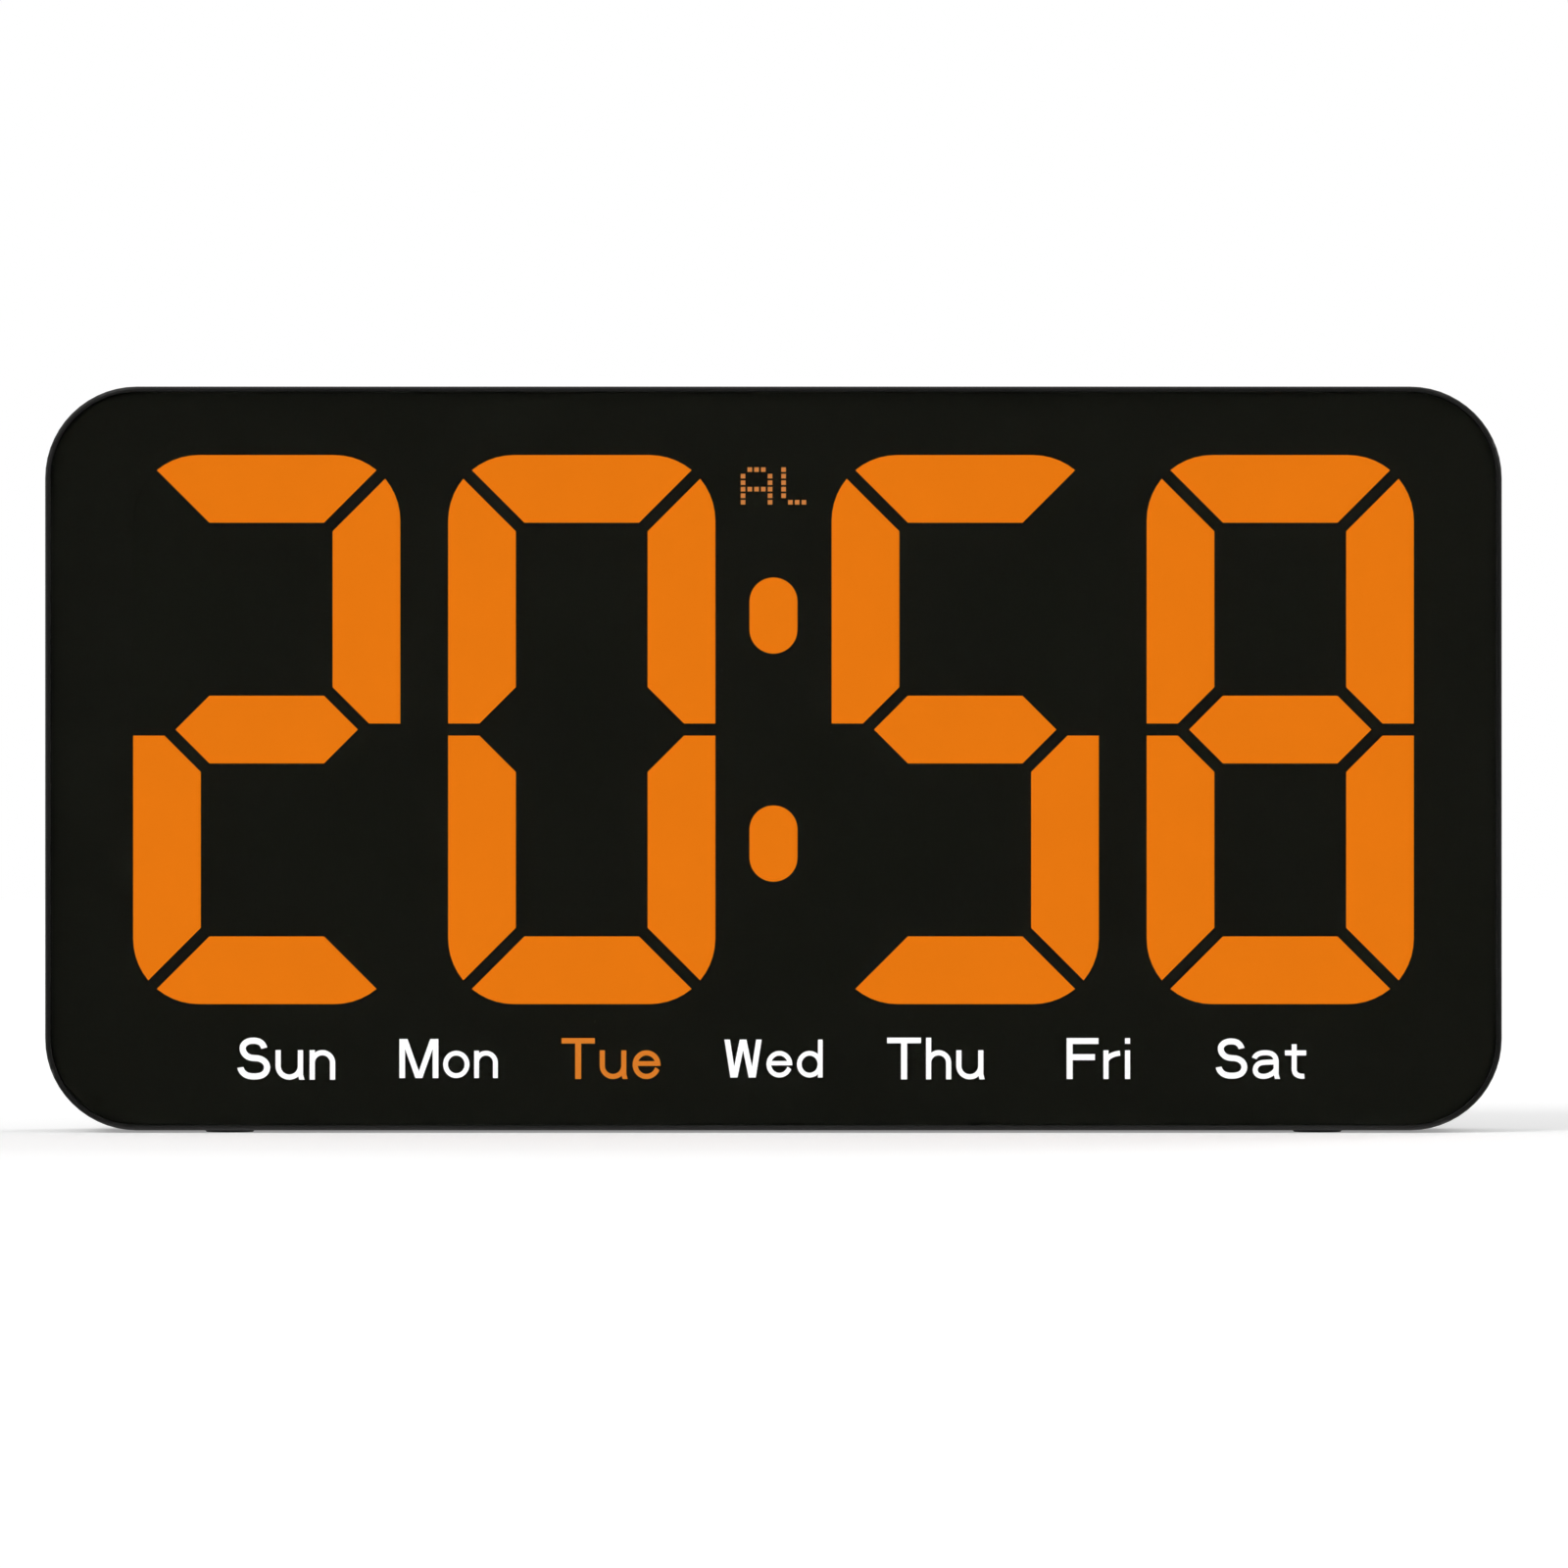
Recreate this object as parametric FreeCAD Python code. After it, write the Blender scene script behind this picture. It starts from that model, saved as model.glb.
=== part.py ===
"""Large-digit LED day clock: a flat, rounded case with a window over four seven-segment digits and a row
of weekdays. It stands on four rubber feet, leans on a fold-out stand or hangs on two screws.

Millimetres. +Z is up, the window faces -Y, +X is on the viewer's right. The origin is the middle of the
footprint, on the surface that the feet stand on."""

import FreeCAD, Part
import math
import os

V = FreeCAD.Vector

# ---------------------------------------------------------------- driving dimensions
# case
CASE_W, CASE_H, CASE_D = 235.0, 120.0, 28.0
CORNER_R = 14.8
WALL = 2.2
BEZEL_D = 12.0          # depth of the front bezel; the rear cover is the rest of CASE_D
RIM_W = 0.8             # rim of the bezel round the window
RIM_ROUND = 0.45
BACK_ROUND = 2.5
SEAM_CHAMFER = 0.3
TONGUE_T, TONGUE_L = 1.0, 1.6
FIT_GAP = 0.1           # clearance between parts that only locate each other
INSERT_GAP = 0.05       # clearance round a part pushed into a pocket

# front stack, from the outside in
LENS_SETBACK = 0.1
LENS_T = 2.0
LENS_GAP = 0.08
FILM_T = 0.2
TAPE_T = 0.3
FILM_INSET, TAPE_SET = 0.3, 0.4       # film and tape drawn back from the rim and the window
FLANGE_T = 1.6
WINDOW_SIDE, WINDOW_TOP = 12.0, 6.0     # case edge to the bezel's window opening
WINDOW_R = 8.0
REFLECTOR_D = 7.0
REFLECTOR_GAP = 0.3
BOARD_T = 1.6
DIFFUSER_T = 1.5
DIFFUSER_LAP = 0.25     # how far a diffuser reaches behind the mask's edge
CAVITY_STEP = 0.3       # how far the light shaft stays inside the segment's outline
CORE_WALL, CORE_SKIN = 1.9, 1.5         # left round the hollows cored out of the reflector's back

# display
DIGIT_W, DIGIT_H = 43.13, 88.63
SEGMENT_T = 10.93
SEGMENT_GAP = 1.95
DIGIT_R = 10.6
DIGIT_X = (-81.8, -30.95, 30.95, 81.8)
DIGIT_RISE = 4.67       # digits' middle above the case's middle
SHOWN = ("abdeg", "abcdef", "acdfg", "abcdefg")     # lit segments of each digit: 2 0 5 8
COLON_W, COLON_H = 7.74, 12.3
COLON_SPREAD = 18.4     # each dot from the digits' middle
ALARM_RISE = 43.99      # alarm sign's middle above the case's middle
DOT_SIZE, DOT_PITCH_X, DOT_PITCH_Z = 0.73, 1.092, 1.054
ALARM_ROWS = (".###..#...",
              "#...#.#...",
              "#...#.#...",
              "#####.#...",
              "#...#.#...",
              "#...#..###")
ALARM_MARGIN = 0.8
DAY_PITCH = 26.22
DAY_DROP = 48.43        # middle of the day names' capitals below the case's middle
DAY_CAPS = (("sun", 6.84), ("mon", 6.31), ("tue", 6.6), ("wed", 6.13), ("thu", 6.73), ("fri", 6.62),
            ("sat", 6.57))
DAY_CELL_W, DAY_CELL_H, DAY_CELL_R, DAY_CELL_STEP = 18.4, 8.4, 1.0, 0.9
LETTER_GAP = 0.121      # between two letters, in capital heights

# light-emitting diodes and boards
LED_L, LED_W, LED_H = 3.5, 2.8, 1.9
LEDS_UPRIGHT, LEDS_LEVEL, LED_STEP = 3, 2, 11.0
LED_DISH_R, LED_DISH_DEEP = 1.15, 0.4
BOARD_EDGE = 6.5        # case edge to the display board, left and right
BOARD_SCREW_IN = 9.2    # case edge to the display board's screws
BOARD_SCREW_RISE = 30.0
STAKE_X, STAKE_RISES = 56.4, (34.0, -26.0)
STAKE_R, STAKE_HEAD_R, STAKE_HEAD_T = 1.2, 2.0, 0.8

# fasteners
CASE_BOSS_IN = 9.6      # case screws, from the corner arc's centre towards the corner
CASE_SCREW_R, CASE_HEAD_R, CASE_HEAD_T = 1.4, 2.6, 1.8
CASE_BOSS_R, REAR_BOSS_R = 3.2, 4.2
CASE_SCREW_L = 10.5
CASE_SEAT = 4.0         # material under the case screw's head
BOSS_CLEARANCE = 0.6    # round the bezel's bosses
BOARD_SCREW_L = 5.8
BOARD_SCREW_R, BOARD_HEAD_R, BOARD_HEAD_T = 1.0, 2.1, 1.3
BOARD_BOSS_R = 2.5
CROSS_L, CROSS_W, CROSS_DEEP = 3.0, 0.7, 0.9

# rubber feet
FOOT_R, FOOT_T, FOOT_PROUD = 4.0, 1.6, 0.4
FOOT_X = 88.0
FOOT_TO_SEAM, FOOT_TO_ROUND = 0.9, 0.6      # front foot to the seam, rear foot to the back's rounding

# fold-out stand
STAND_W, STAND_T, STAND_L = 62.0, 3.2, 62.0
STAND_HEIGHT = 70.0     # hinge line above the case's foot
STAND_SET = 0.6         # leg below the back face
KNUCKLE_R, STAND_PIN_R, STAND_PIN_OUT = 2.0, 1.0, 4.5
PIN_GAP = 0.05
STAND_OPEN = 30.0       # degrees
STAND_SIDE_GAP, STAND_TOP_GAP = 0.5, 2.7
STAND_PANEL_DEEP, STAND_PANEL_SIDE, STAND_PANEL_END = 0.6, 6.0, 8.0
STAND_STOP_GAP = 0.02   # heel to the pan's floor when the stand is open
PAN_T = 1.6
PAN_GAP = 0.6           # leg to the pan's floor
LUG_W, LUG_HALF = 5.2, 4.2
PAD_T, PAD_W = 1.2, 44.0
STAND_CORNER_R = 6.0
STAND_GRIPS, STAND_GRIP_PITCH, STAND_GRIP_W, STAND_GRIP_DEEP = 5, 2.4, 1.0, 0.4
STAND_GRIP_L, STAND_GRIP_RISE = 25.0, 7.0   # first grip groove above the leg's end
SCOOP_R, SCOOP_HEIGHT = 8.0, 22.0

# battery bay
CELL_R, CELL_L, NUB_R, NUB_L = 5.25, 43.5, 1.9, 1.0
CELLS = 3
CELL_SPACE = 0.4        # between two cells
BAY_INNER_X = -45.0     # end of the bay nearest the middle
BAY_FOOT = 14.0         # bay's lower side above the case's foot
SPRING_L, SPRING_R0, SPRING_R1, WIRE_R, SPRING_TURNS = 5.2, 3.4, 1.9, 0.3, 4
CONTACT_T, CONTACT_W = 0.4, 8.0
TAIL_L, TAIL_W = 1.6, 2.0                # soldering tails through the bay's end walls
LEAD_WIRE_R = 0.55
BAY_WALL = 1.4
CELL_GAP = 0.3
DOOR_T = 2.6
DOOR_LAP = 2.6          # door beyond the bay on each side
DOOR_GAP = 0.3
DOOR_LEDGE_T = 1.7
DOOR_R = 2.0
DOOR_PIN_R, DOOR_PIN_L = 0.7, 2.0
NOTCH_R, NOTCH_DEEP, NOTCH_REACH = 8.0, 1.4, 5.0
GROOVES, GROOVE_PITCH, GROOVE_W, GROOVE_DEEP, GROOVE_L = 5, 2.0, 0.9, 0.4, 16.0
DETENT_X, DETENT_W, DETENT_H = 14.0, 5.0, 0.2

# control board, seen from the front
CONTROL_X0, CONTROL_X1 = -20.0, 78.0
CONTROL_Z0, CONTROL_Z1 = 42.0, 110.0    # above the case's foot
CONTROL_POSTS = ((-16.0, 106.0), (74.0, 106.0), (74.0, 46.0), (40.0, 46.0))
SWITCH_A, SWITCH_BODY, SWITCH_H, PLUNGER_R = 6.0, 3.5, 5.0, 1.7
PLUNGER_SINK = 0.6      # plunger inside its switch
PRESS = 0.3             # travel of the buttons
BUTTON_NAMES = ("mode", "set", "up", "down")
BUTTON_X0, BUTTON_PITCH, BUTTON_Z = 24.0, 13.0, 88.0
BUTTON_W, BUTTON_H, BUTTON_FLANGE, BUTTON_FLANGE_T = 9.0, 6.0, 1.0, 0.8
BUTTON_SET = 0.1        # button below the back face
BUTTON_HOLE_GAP = 0.15
BUTTON_POCKET_D, BUTTON_POCKET_MARGIN = 1.0, 3.0
MARK_T = 0.25
TOUCH_GAP = 0.05        # between a button and its plunger

# snooze bar, in the top of the rear cover
SNOOZE_W, SNOOZE_D, SNOOZE_Y = 52.0, 8.0, 6.0
SNOOZE_GAP = 0.2
SNOOZE_FLANGE, SNOOZE_FLANGE_T = 1.2, 0.9
SNOOZE_PRESS = 0.4
SNOOZE_SET = 0.05
SNOOZE_STEM_R = 1.6
SNOOZE_GRIPS, SNOOZE_GRIP_PITCH = 5, 3.0

SNOOZE_SWITCH_TOP = 110.5               # above the case's foot
SNOOZE_PLUNGER_OUT = 1.5

# chips and small parts
CHIP_LIFT = 0.1         # chip body above its board
LEAD_T, LEAD_W, LEAD_L = 0.2, 0.4, 1.1
DRIVER_X, DRIVER_RISE = (-81.8, -30.95, 30.95, 81.8), 14.0
DRIVER_L, DRIVER_W, DRIVER_T, DRIVER_LEADS, DRIVER_PITCH = 10.3, 7.5, 1.5, 8, 1.27
HEADER_PINS, HEADER_PITCH, HEADER_PIN = 10, 2.54, 0.64
HEADER_X, HEADER_RISE = 10.0, -7.5
MCU_X, MCU_RISE, MCU_A, MCU_T, MCU_LEADS, MCU_PITCH = 36.0, 10.0, 10.0, 1.4, 11, 0.8
MCU_LEAD_W = 0.3
CRYSTAL_R, CRYSTAL_L, CRYSTAL_OUT = 1.0, 6.0, 12.0     # crystal beside the controller
CAP_SPOTS, CAP_R, CAP_H = ((-6.0, 84.0), (6.0, 84.0), (-6.0, 97.0)), 3.15, 5.2
RESISTORS, RESISTOR_COLUMNS, RESISTOR_PITCH, RESISTOR_RISE = 12, 6, 3.6, 12.0
RESISTOR_L, RESISTOR_W, RESISTOR_T, RESISTOR_END = 1.6, 0.8, 0.45, 0.3

# wall hanging
KEY_IN = 27.5           # keyholes from the case's sides
KEY_Z = 93.0            # keyhole entry above the case's foot
KEY_R, KEY_SLOT, KEY_RISE = 4.75, 4.6, 7.5
KEY_POCKET_D, KEY_POCKET_W, KEY_POCKET_T = 4.6, 12.0, 1.2

# power socket, buzzer, vents
USB_X, USB_Z = 68.0, 58.0
USB_W, USB_H, USB_SHELL, USB_SET = 8.94, 3.26, 0.3, 1.4
USB_TONGUE_W, USB_TONGUE_T = 6.7, 0.7
USB_GAP, USB_RECESS_MARGIN, USB_RECESS_DEEP, USB_BASE_T = 0.25, 2.1, 0.8, 1.0
BUZZER_X, BUZZER_Z, BUZZER_R, BUZZER_H = 51.0, 62.0, 6.0, 5.4
GRILLE_R, GRILLE_PITCH = 0.8, 2.8
VENTS, VENT_PITCH, VENT_W, VENT_L, VENT_X, VENT_Z = 9, 4.0, 1.4, 12.0, -40.0, 100.0

# ---------------------------------------------------------------- levels worked out from them
FRONT_Y, BACK_Y = -CASE_D / 2, CASE_D / 2
SEAM_Y = FRONT_Y + BEZEL_D
INNER_Y = BACK_Y - WALL
FOOT_Z = FOOT_PROUD
MID_Z = FOOT_Z + CASE_H / 2
TOP_Z = FOOT_Z + CASE_H

FOOT_Y = (SEAM_Y - FOOT_TO_SEAM - FOOT_R, BACK_Y - BACK_ROUND - FOOT_TO_ROUND - FOOT_R)

LENS_Y0 = FRONT_Y + LENS_SETBACK
LENS_Y1 = LENS_Y0 + LENS_T
FILM_Y1 = LENS_Y1 + FILM_T
SHELF_Y = FILM_Y1 + TAPE_T
FLANGE_Y1 = SHELF_Y + FLANGE_T
REFLECTOR_Y1 = FILM_Y1 + REFLECTOR_D
BOARD_Y1 = REFLECTOR_Y1 + BOARD_T
WINDOW_W, WINDOW_H = CASE_W - 2 * WINDOW_SIDE, CASE_H - 2 * WINDOW_TOP
REFLECTOR_W, REFLECTOR_H = WINDOW_W - 2 * REFLECTOR_GAP, WINDOW_H - 2 * REFLECTOR_GAP
DIGIT_Z = MID_Z + DIGIT_RISE
CORE_W = DIGIT_W - 2 * SEGMENT_T - 2 * CORE_WALL
CORE_H = (DIGIT_H - 3 * SEGMENT_T) / 2 - 2 * CORE_WALL
CORE_RISE = (DIGIT_H - SEGMENT_T) / 4
DAY_MID_Z = MID_Z - DAY_DROP

BUTTON_INNER_Y = INNER_Y - FIT_GAP - BUTTON_FLANGE_T
PLUNGER_Y = BUTTON_INNER_Y - TOUCH_GAP
CONTROL_Y1 = PLUNGER_Y - SWITCH_H
CONTROL_Y0 = CONTROL_Y1 - BOARD_T

HINGE_Y = BACK_Y - STAND_SET - STAND_T / 2
HINGE_Z = FOOT_Z + STAND_HEIGHT
STAND_HEEL = ((STAND_T / 2 + PAN_GAP - STAND_STOP_GAP - STAND_T / 2 * math.cos(math.radians(STAND_OPEN)))
              / math.sin(math.radians(STAND_OPEN)))
PAN_Y = HINGE_Y - STAND_T / 2 - PAN_GAP

SNOOZE_PLUNGER_Y = CONTROL_Y1 + SWITCH_BODY / 2
SNOOZE_SWITCH_Z = FOOT_Z + SNOOZE_SWITCH_TOP
SNOOZE_PLUNGER_Z = SNOOZE_SWITCH_Z + SNOOZE_PLUNGER_OUT
DRIVER_Z = MID_Z + DRIVER_RISE
HEADER_Z = MID_Z + HEADER_RISE
MCU_Z = MID_Z + MCU_RISE

CELL_PITCH = 2 * CELL_R + CELL_SPACE
CELL_Y = BACK_Y - DOOR_T - CELL_GAP - CELL_R
BAY_L = CELL_L + NUB_L + SPRING_L + 2 * CONTACT_T
BAY_X1 = BAY_INNER_X
BAY_X0 = BAY_X1 - BAY_L
BAY_Z0 = FOOT_Z + BAY_FOOT
BAY_Z1 = BAY_Z0 + (CELLS - 1) * CELL_PITCH + 2 * (CELL_R + CELL_GAP)
BAY_FLOOR_Y = CELL_Y - CELL_R - CELL_GAP
DOOR_X0, DOOR_X1 = BAY_X0 - DOOR_LAP, BAY_X1 + DOOR_LAP
DOOR_Z0, DOOR_Z1 = BAY_Z0 - DOOR_LAP, BAY_Z1 + DOOR_LAP
DOOR_PIN_Y, DOOR_PIN_Z = BACK_Y - DOOR_T / 2, DOOR_Z1 - DOOR_T / 2
DOOR_POCKET_Y = BACK_Y - DOOR_T - FIT_GAP

ARC_X, ARC_Z = CASE_W / 2 - CORNER_R, CASE_H / 2 - CORNER_R
BOSS_X = ARC_X + CASE_BOSS_IN * math.sqrt(0.5)
BOSS_RISE = ARC_Z + CASE_BOSS_IN * math.sqrt(0.5)
CASE_BOSSES = [(sx * BOSS_X, MID_Z + sz * BOSS_RISE) for sx in (-1, 1) for sz in (-1, 1)]
SCREW_SEAT_Y = SEAM_Y + CASE_SEAT
BOARD_HALF_W, BOARD_HALF_H = CASE_W / 2 - BOARD_EDGE, REFLECTOR_H / 2 - REFLECTOR_GAP
BOARD_SCREWS = [(sx * (CASE_W / 2 - BOARD_SCREW_IN), MID_Z + sz * BOARD_SCREW_RISE)
                for sx in (-1, 1) for sz in (-1, 1)]
STAKES = [(sx * STAKE_X, MID_Z + rise) for sx in (-1, 1) for rise in STAKE_RISES]
KEY_X = CASE_W / 2 - KEY_IN


# ---------------------------------------------------------------- plain shapes
def box(x0, x1, y0, y1, z0, z1):
    """A block between two corners."""
    return Part.makeBox(x1 - x0, y1 - y0, z1 - z0, V(x0, y0, z0))


def rod(x, z, radius, y0, y1):
    """A cylinder along Y."""
    return Part.makeCylinder(radius, y1 - y0, V(x, y0, z), V(0, 1, 0))


def rod_x(y, z, radius, x0, x1):
    return Part.makeCylinder(radius, x1 - x0, V(x0, y, z), V(1, 0, 0))


def rod_z(x, y, radius, z0, z1):
    return Part.makeCylinder(radius, z1 - z0, V(x, y, z0), V(0, 0, 1))


def rounded_wire(width, height, radius, x=0.0, z=MID_Z, y=0.0):
    """A rectangle with round corners, in the plane of the window; it may end in full rounds."""
    a, b = width / 2, height / 2
    r = min(radius, a, b)
    edges, ends = [], []
    for sx, sz, start in ((1, 1, 0), (-1, 1, 90), (-1, -1, 180), (1, -1, 270)):
        cx, cz = x + sx * (a - r), z + sz * (b - r)
        at = [V(cx + r * math.cos(math.radians(start + t)), y, cz + r * math.sin(math.radians(start + t)))
              for t in (0, 45, 90)]
        edges.append(Part.Arc(*at).toShape())
        ends.append((at[0], at[2]))
    for k in range(4):
        leaving, arriving = ends[k][1], ends[(k + 1) % 4][0]
        if (arriving - leaving).Length > 1e-6:
            edges.append(Part.makeLine(leaving, arriving))
    return Part.Wire(Part.__sortEdges__(edges))


def slab(width, height, radius, y0, y1, x=0.0, z=MID_Z):
    """A plate with round corners, from y0 back to y1."""
    return Part.Face(rounded_wire(width, height, radius, x, z, y0)).extrude(V(0, y1 - y0, 0))


def slab_z(width, depth, radius, z0, z1, x=0.0, y=0.0):
    """A plate with round corners that lies level, from z0 up to z1."""
    flat = slab(width, depth, radius, 0.0, z1 - z0, 0.0, 0.0)
    flat.rotate(V(0, 0, 0), V(1, 0, 0), 90)
    flat.translate(V(x, y, z0))
    return flat


def polygon(points, y0, y1):
    """A prism along Y over (x, z) points."""
    wire = Part.makePolygon([V(x, y0, z) for x, z in points] + [V(points[0][0], y0, points[0][1])])
    return Part.Face(wire).extrude(V(0, y1 - y0, 0))


def case_slab(inset, y0, y1):
    """The case's outline, drawn in by an even inset."""
    return slab(CASE_W - 2 * inset, CASE_H - 2 * inset, CORNER_R - inset, y0, y1)


def join(shapes):
    return shapes[0].multiFuse(shapes[1:]).removeSplitter() if len(shapes) > 1 else shapes[0]


def cut(shape, tools):
    return shape.cut([solid for tool in tools for solid in tool.Solids])


def edges_at(shape, keep):
    """The edges whose every vertex passes a test."""
    return [e for e in shape.Edges if e.Vertexes and all(keep(v.Point) for v in e.Vertexes)]


def near(a, b):
    return abs(a - b) < 1e-4


def save(name, shapes):
    """Writes one sub-part: a solid, or a group of separate solids."""
    group = shapes if isinstance(shapes, list) else [shapes]
    solids = [solid for shape in group for solid in shape.Solids]
    whole = solids[0] if len(solids) == 1 else Part.makeCompound(solids)
    whole.exportStep(os.path.join("parts", name + ".step"))


# ---------------------------------------------------------------- the display's outlines
def segment_polygons(grow):
    """The segments a to g of a digit about its middle, with every side moved outwards by grow."""
    w, h, t = DIGIT_W / 2, DIGIT_H / 2, SEGMENT_T
    mitre = (SEGMENT_GAP / 2 - grow) * math.sqrt(2)
    half_gap = SEGMENT_GAP / 2 - grow
    outer_x, outer_z, inner_x, inner_z = w + grow, h + grow, w - t - grow, h - t - grow
    top = [(-outer_x + mitre, outer_z), (outer_x - mitre, outer_z), (inner_x - mitre, inner_z),
           (-inner_x + mitre, inner_z)]
    upper_right = [(outer_x, outer_z - mitre), (outer_x, half_gap), (w - t / 2 + mitre - half_gap, half_gap),
                   (inner_x, t / 2 + grow + mitre), (inner_x, inner_z - mitre)]
    tip, shoulder, half = w - t / 2 - mitre, w - t - mitre - grow, t / 2 + grow
    middle = [(tip, 0), (shoulder, half), (-shoulder, half), (-tip, 0), (-shoulder, -half),
              (shoulder, -half)]
    upper_left = [(-px, pz) for px, pz in upper_right]
    lower_right = [(px, -pz) for px, pz in upper_right]
    lower_left = [(-px, -pz) for px, pz in upper_right]
    bottom = [(px, -pz) for px, pz in top]
    return [top, upper_right, lower_right, bottom, lower_left, upper_left, middle]


def segments(x, grow, y0, y1):
    """Seven separate prisms, their outer corners rounded as the digit's are."""
    outline = slab(DIGIT_W + 2 * grow, DIGIT_H + 2 * grow, DIGIT_R + grow, y0, y1, x, DIGIT_Z)
    found = []
    for points in segment_polygons(grow):
        prism = polygon([(x + px, DIGIT_Z + pz) for px, pz in points], y0, y1)
        found.append(prism.common(outline).Solids[0])
    return found


def colon(grow, y0, y1):
    return [slab(COLON_W + 2 * grow, COLON_H + 2 * grow, COLON_W / 2 + grow, y0, y1, 0.0,
                 DIGIT_Z + s * COLON_SPREAD)
            for s in (1, -1)]


def alarm_dots(y0, y1):
    """The alarm sign, as the square windows of a dot matrix."""
    rows, columns, half = len(ALARM_ROWS), len(ALARM_ROWS[0]), DOT_SIZE / 2
    dots = []
    for r, row in enumerate(ALARM_ROWS):
        for c, mark in enumerate(row):
            if mark == "#":
                x = (c - (columns - 1) / 2) * DOT_PITCH_X
                z = MID_Z + ALARM_RISE + ((rows - 1) / 2 - r) * DOT_PITCH_Z
                dots.append(box(x - half, x + half, y0, y1, z - half, z + half))
    return dots


def alarm_plate(grow, y0, y1):
    width = (len(ALARM_ROWS[0]) - 1) * DOT_PITCH_X + DOT_SIZE + 2 * (ALARM_MARGIN + grow)
    height = (len(ALARM_ROWS) - 1) * DOT_PITCH_Z + DOT_SIZE + 2 * (ALARM_MARGIN + grow)
    return slab(width, height, ALARM_MARGIN, y0, y1, 0.0, MID_Z + ALARM_RISE)


def day_x(k):
    return (k - (len(DAY_CAPS) - 1) / 2) * DAY_PITCH


def day_cells(grow, y0, y1):
    return [slab(DAY_CELL_W + 2 * grow, DAY_CELL_H + 2 * grow, DAY_CELL_R + grow, y0, y1, day_x(k),
                 DAY_MID_Z)
            for k in range(len(DAY_CAPS))]


# ---------------------------------------------------------------- the day names' letters
# Each glyph is a list of strokes in capital heights, from its own lower left corner: a polygon, or a smooth
# ribbon of even width along hand-set points.
STEM, CAP_STEM = 0.124, 0.146   # upright strokes of the small letters and of the capitals
SLANT_STEM = 0.153              # the M's slanting strokes, measured level
X_HEIGHT = 0.70
KICK, KICK_Z = 0.033, 0.12      # how far the foot of an a or a u leans out, and from what height


def bar(x0, z0, x1, z1):
    return ("polygon", [(x0, z0), (x1, z0), (x1, z1), (x0, z1)])


def slant(x0, z0, x1, z1, width):
    """A slanting stroke with level ends."""
    h = width / 2
    return ("polygon", [(x0 - h, z0), (x0 + h, z0), (x1 + h, z1), (x1 - h, z1)])


def ribbon(width, *points):
    return ("ribbon", (width, points))


def ring(x0, x1, z0, z1):
    """A closed round bowl."""
    return ("ring", (x0, x1, z0, z1))


def arch(x0, x1, spring, crown):
    """Half of a bowl: up or down from its springing line."""
    return ("arch", (x0, x1, spring, crown))


def kick(right):
    """The foot that leans out below a stem with its right side there."""
    middle = right - STEM / 2
    return slant(middle + KICK, 0, middle, KICK_Z, STEM)


def arched(width, height):
    """An n, or an h where its first stem is taller."""
    spring = X_HEIGHT - width / 2
    return width, [bar(0, 0, STEM, height), arch(0, width, spring, X_HEIGHT),
                   bar(width - STEM, 0, width, spring)]


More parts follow.
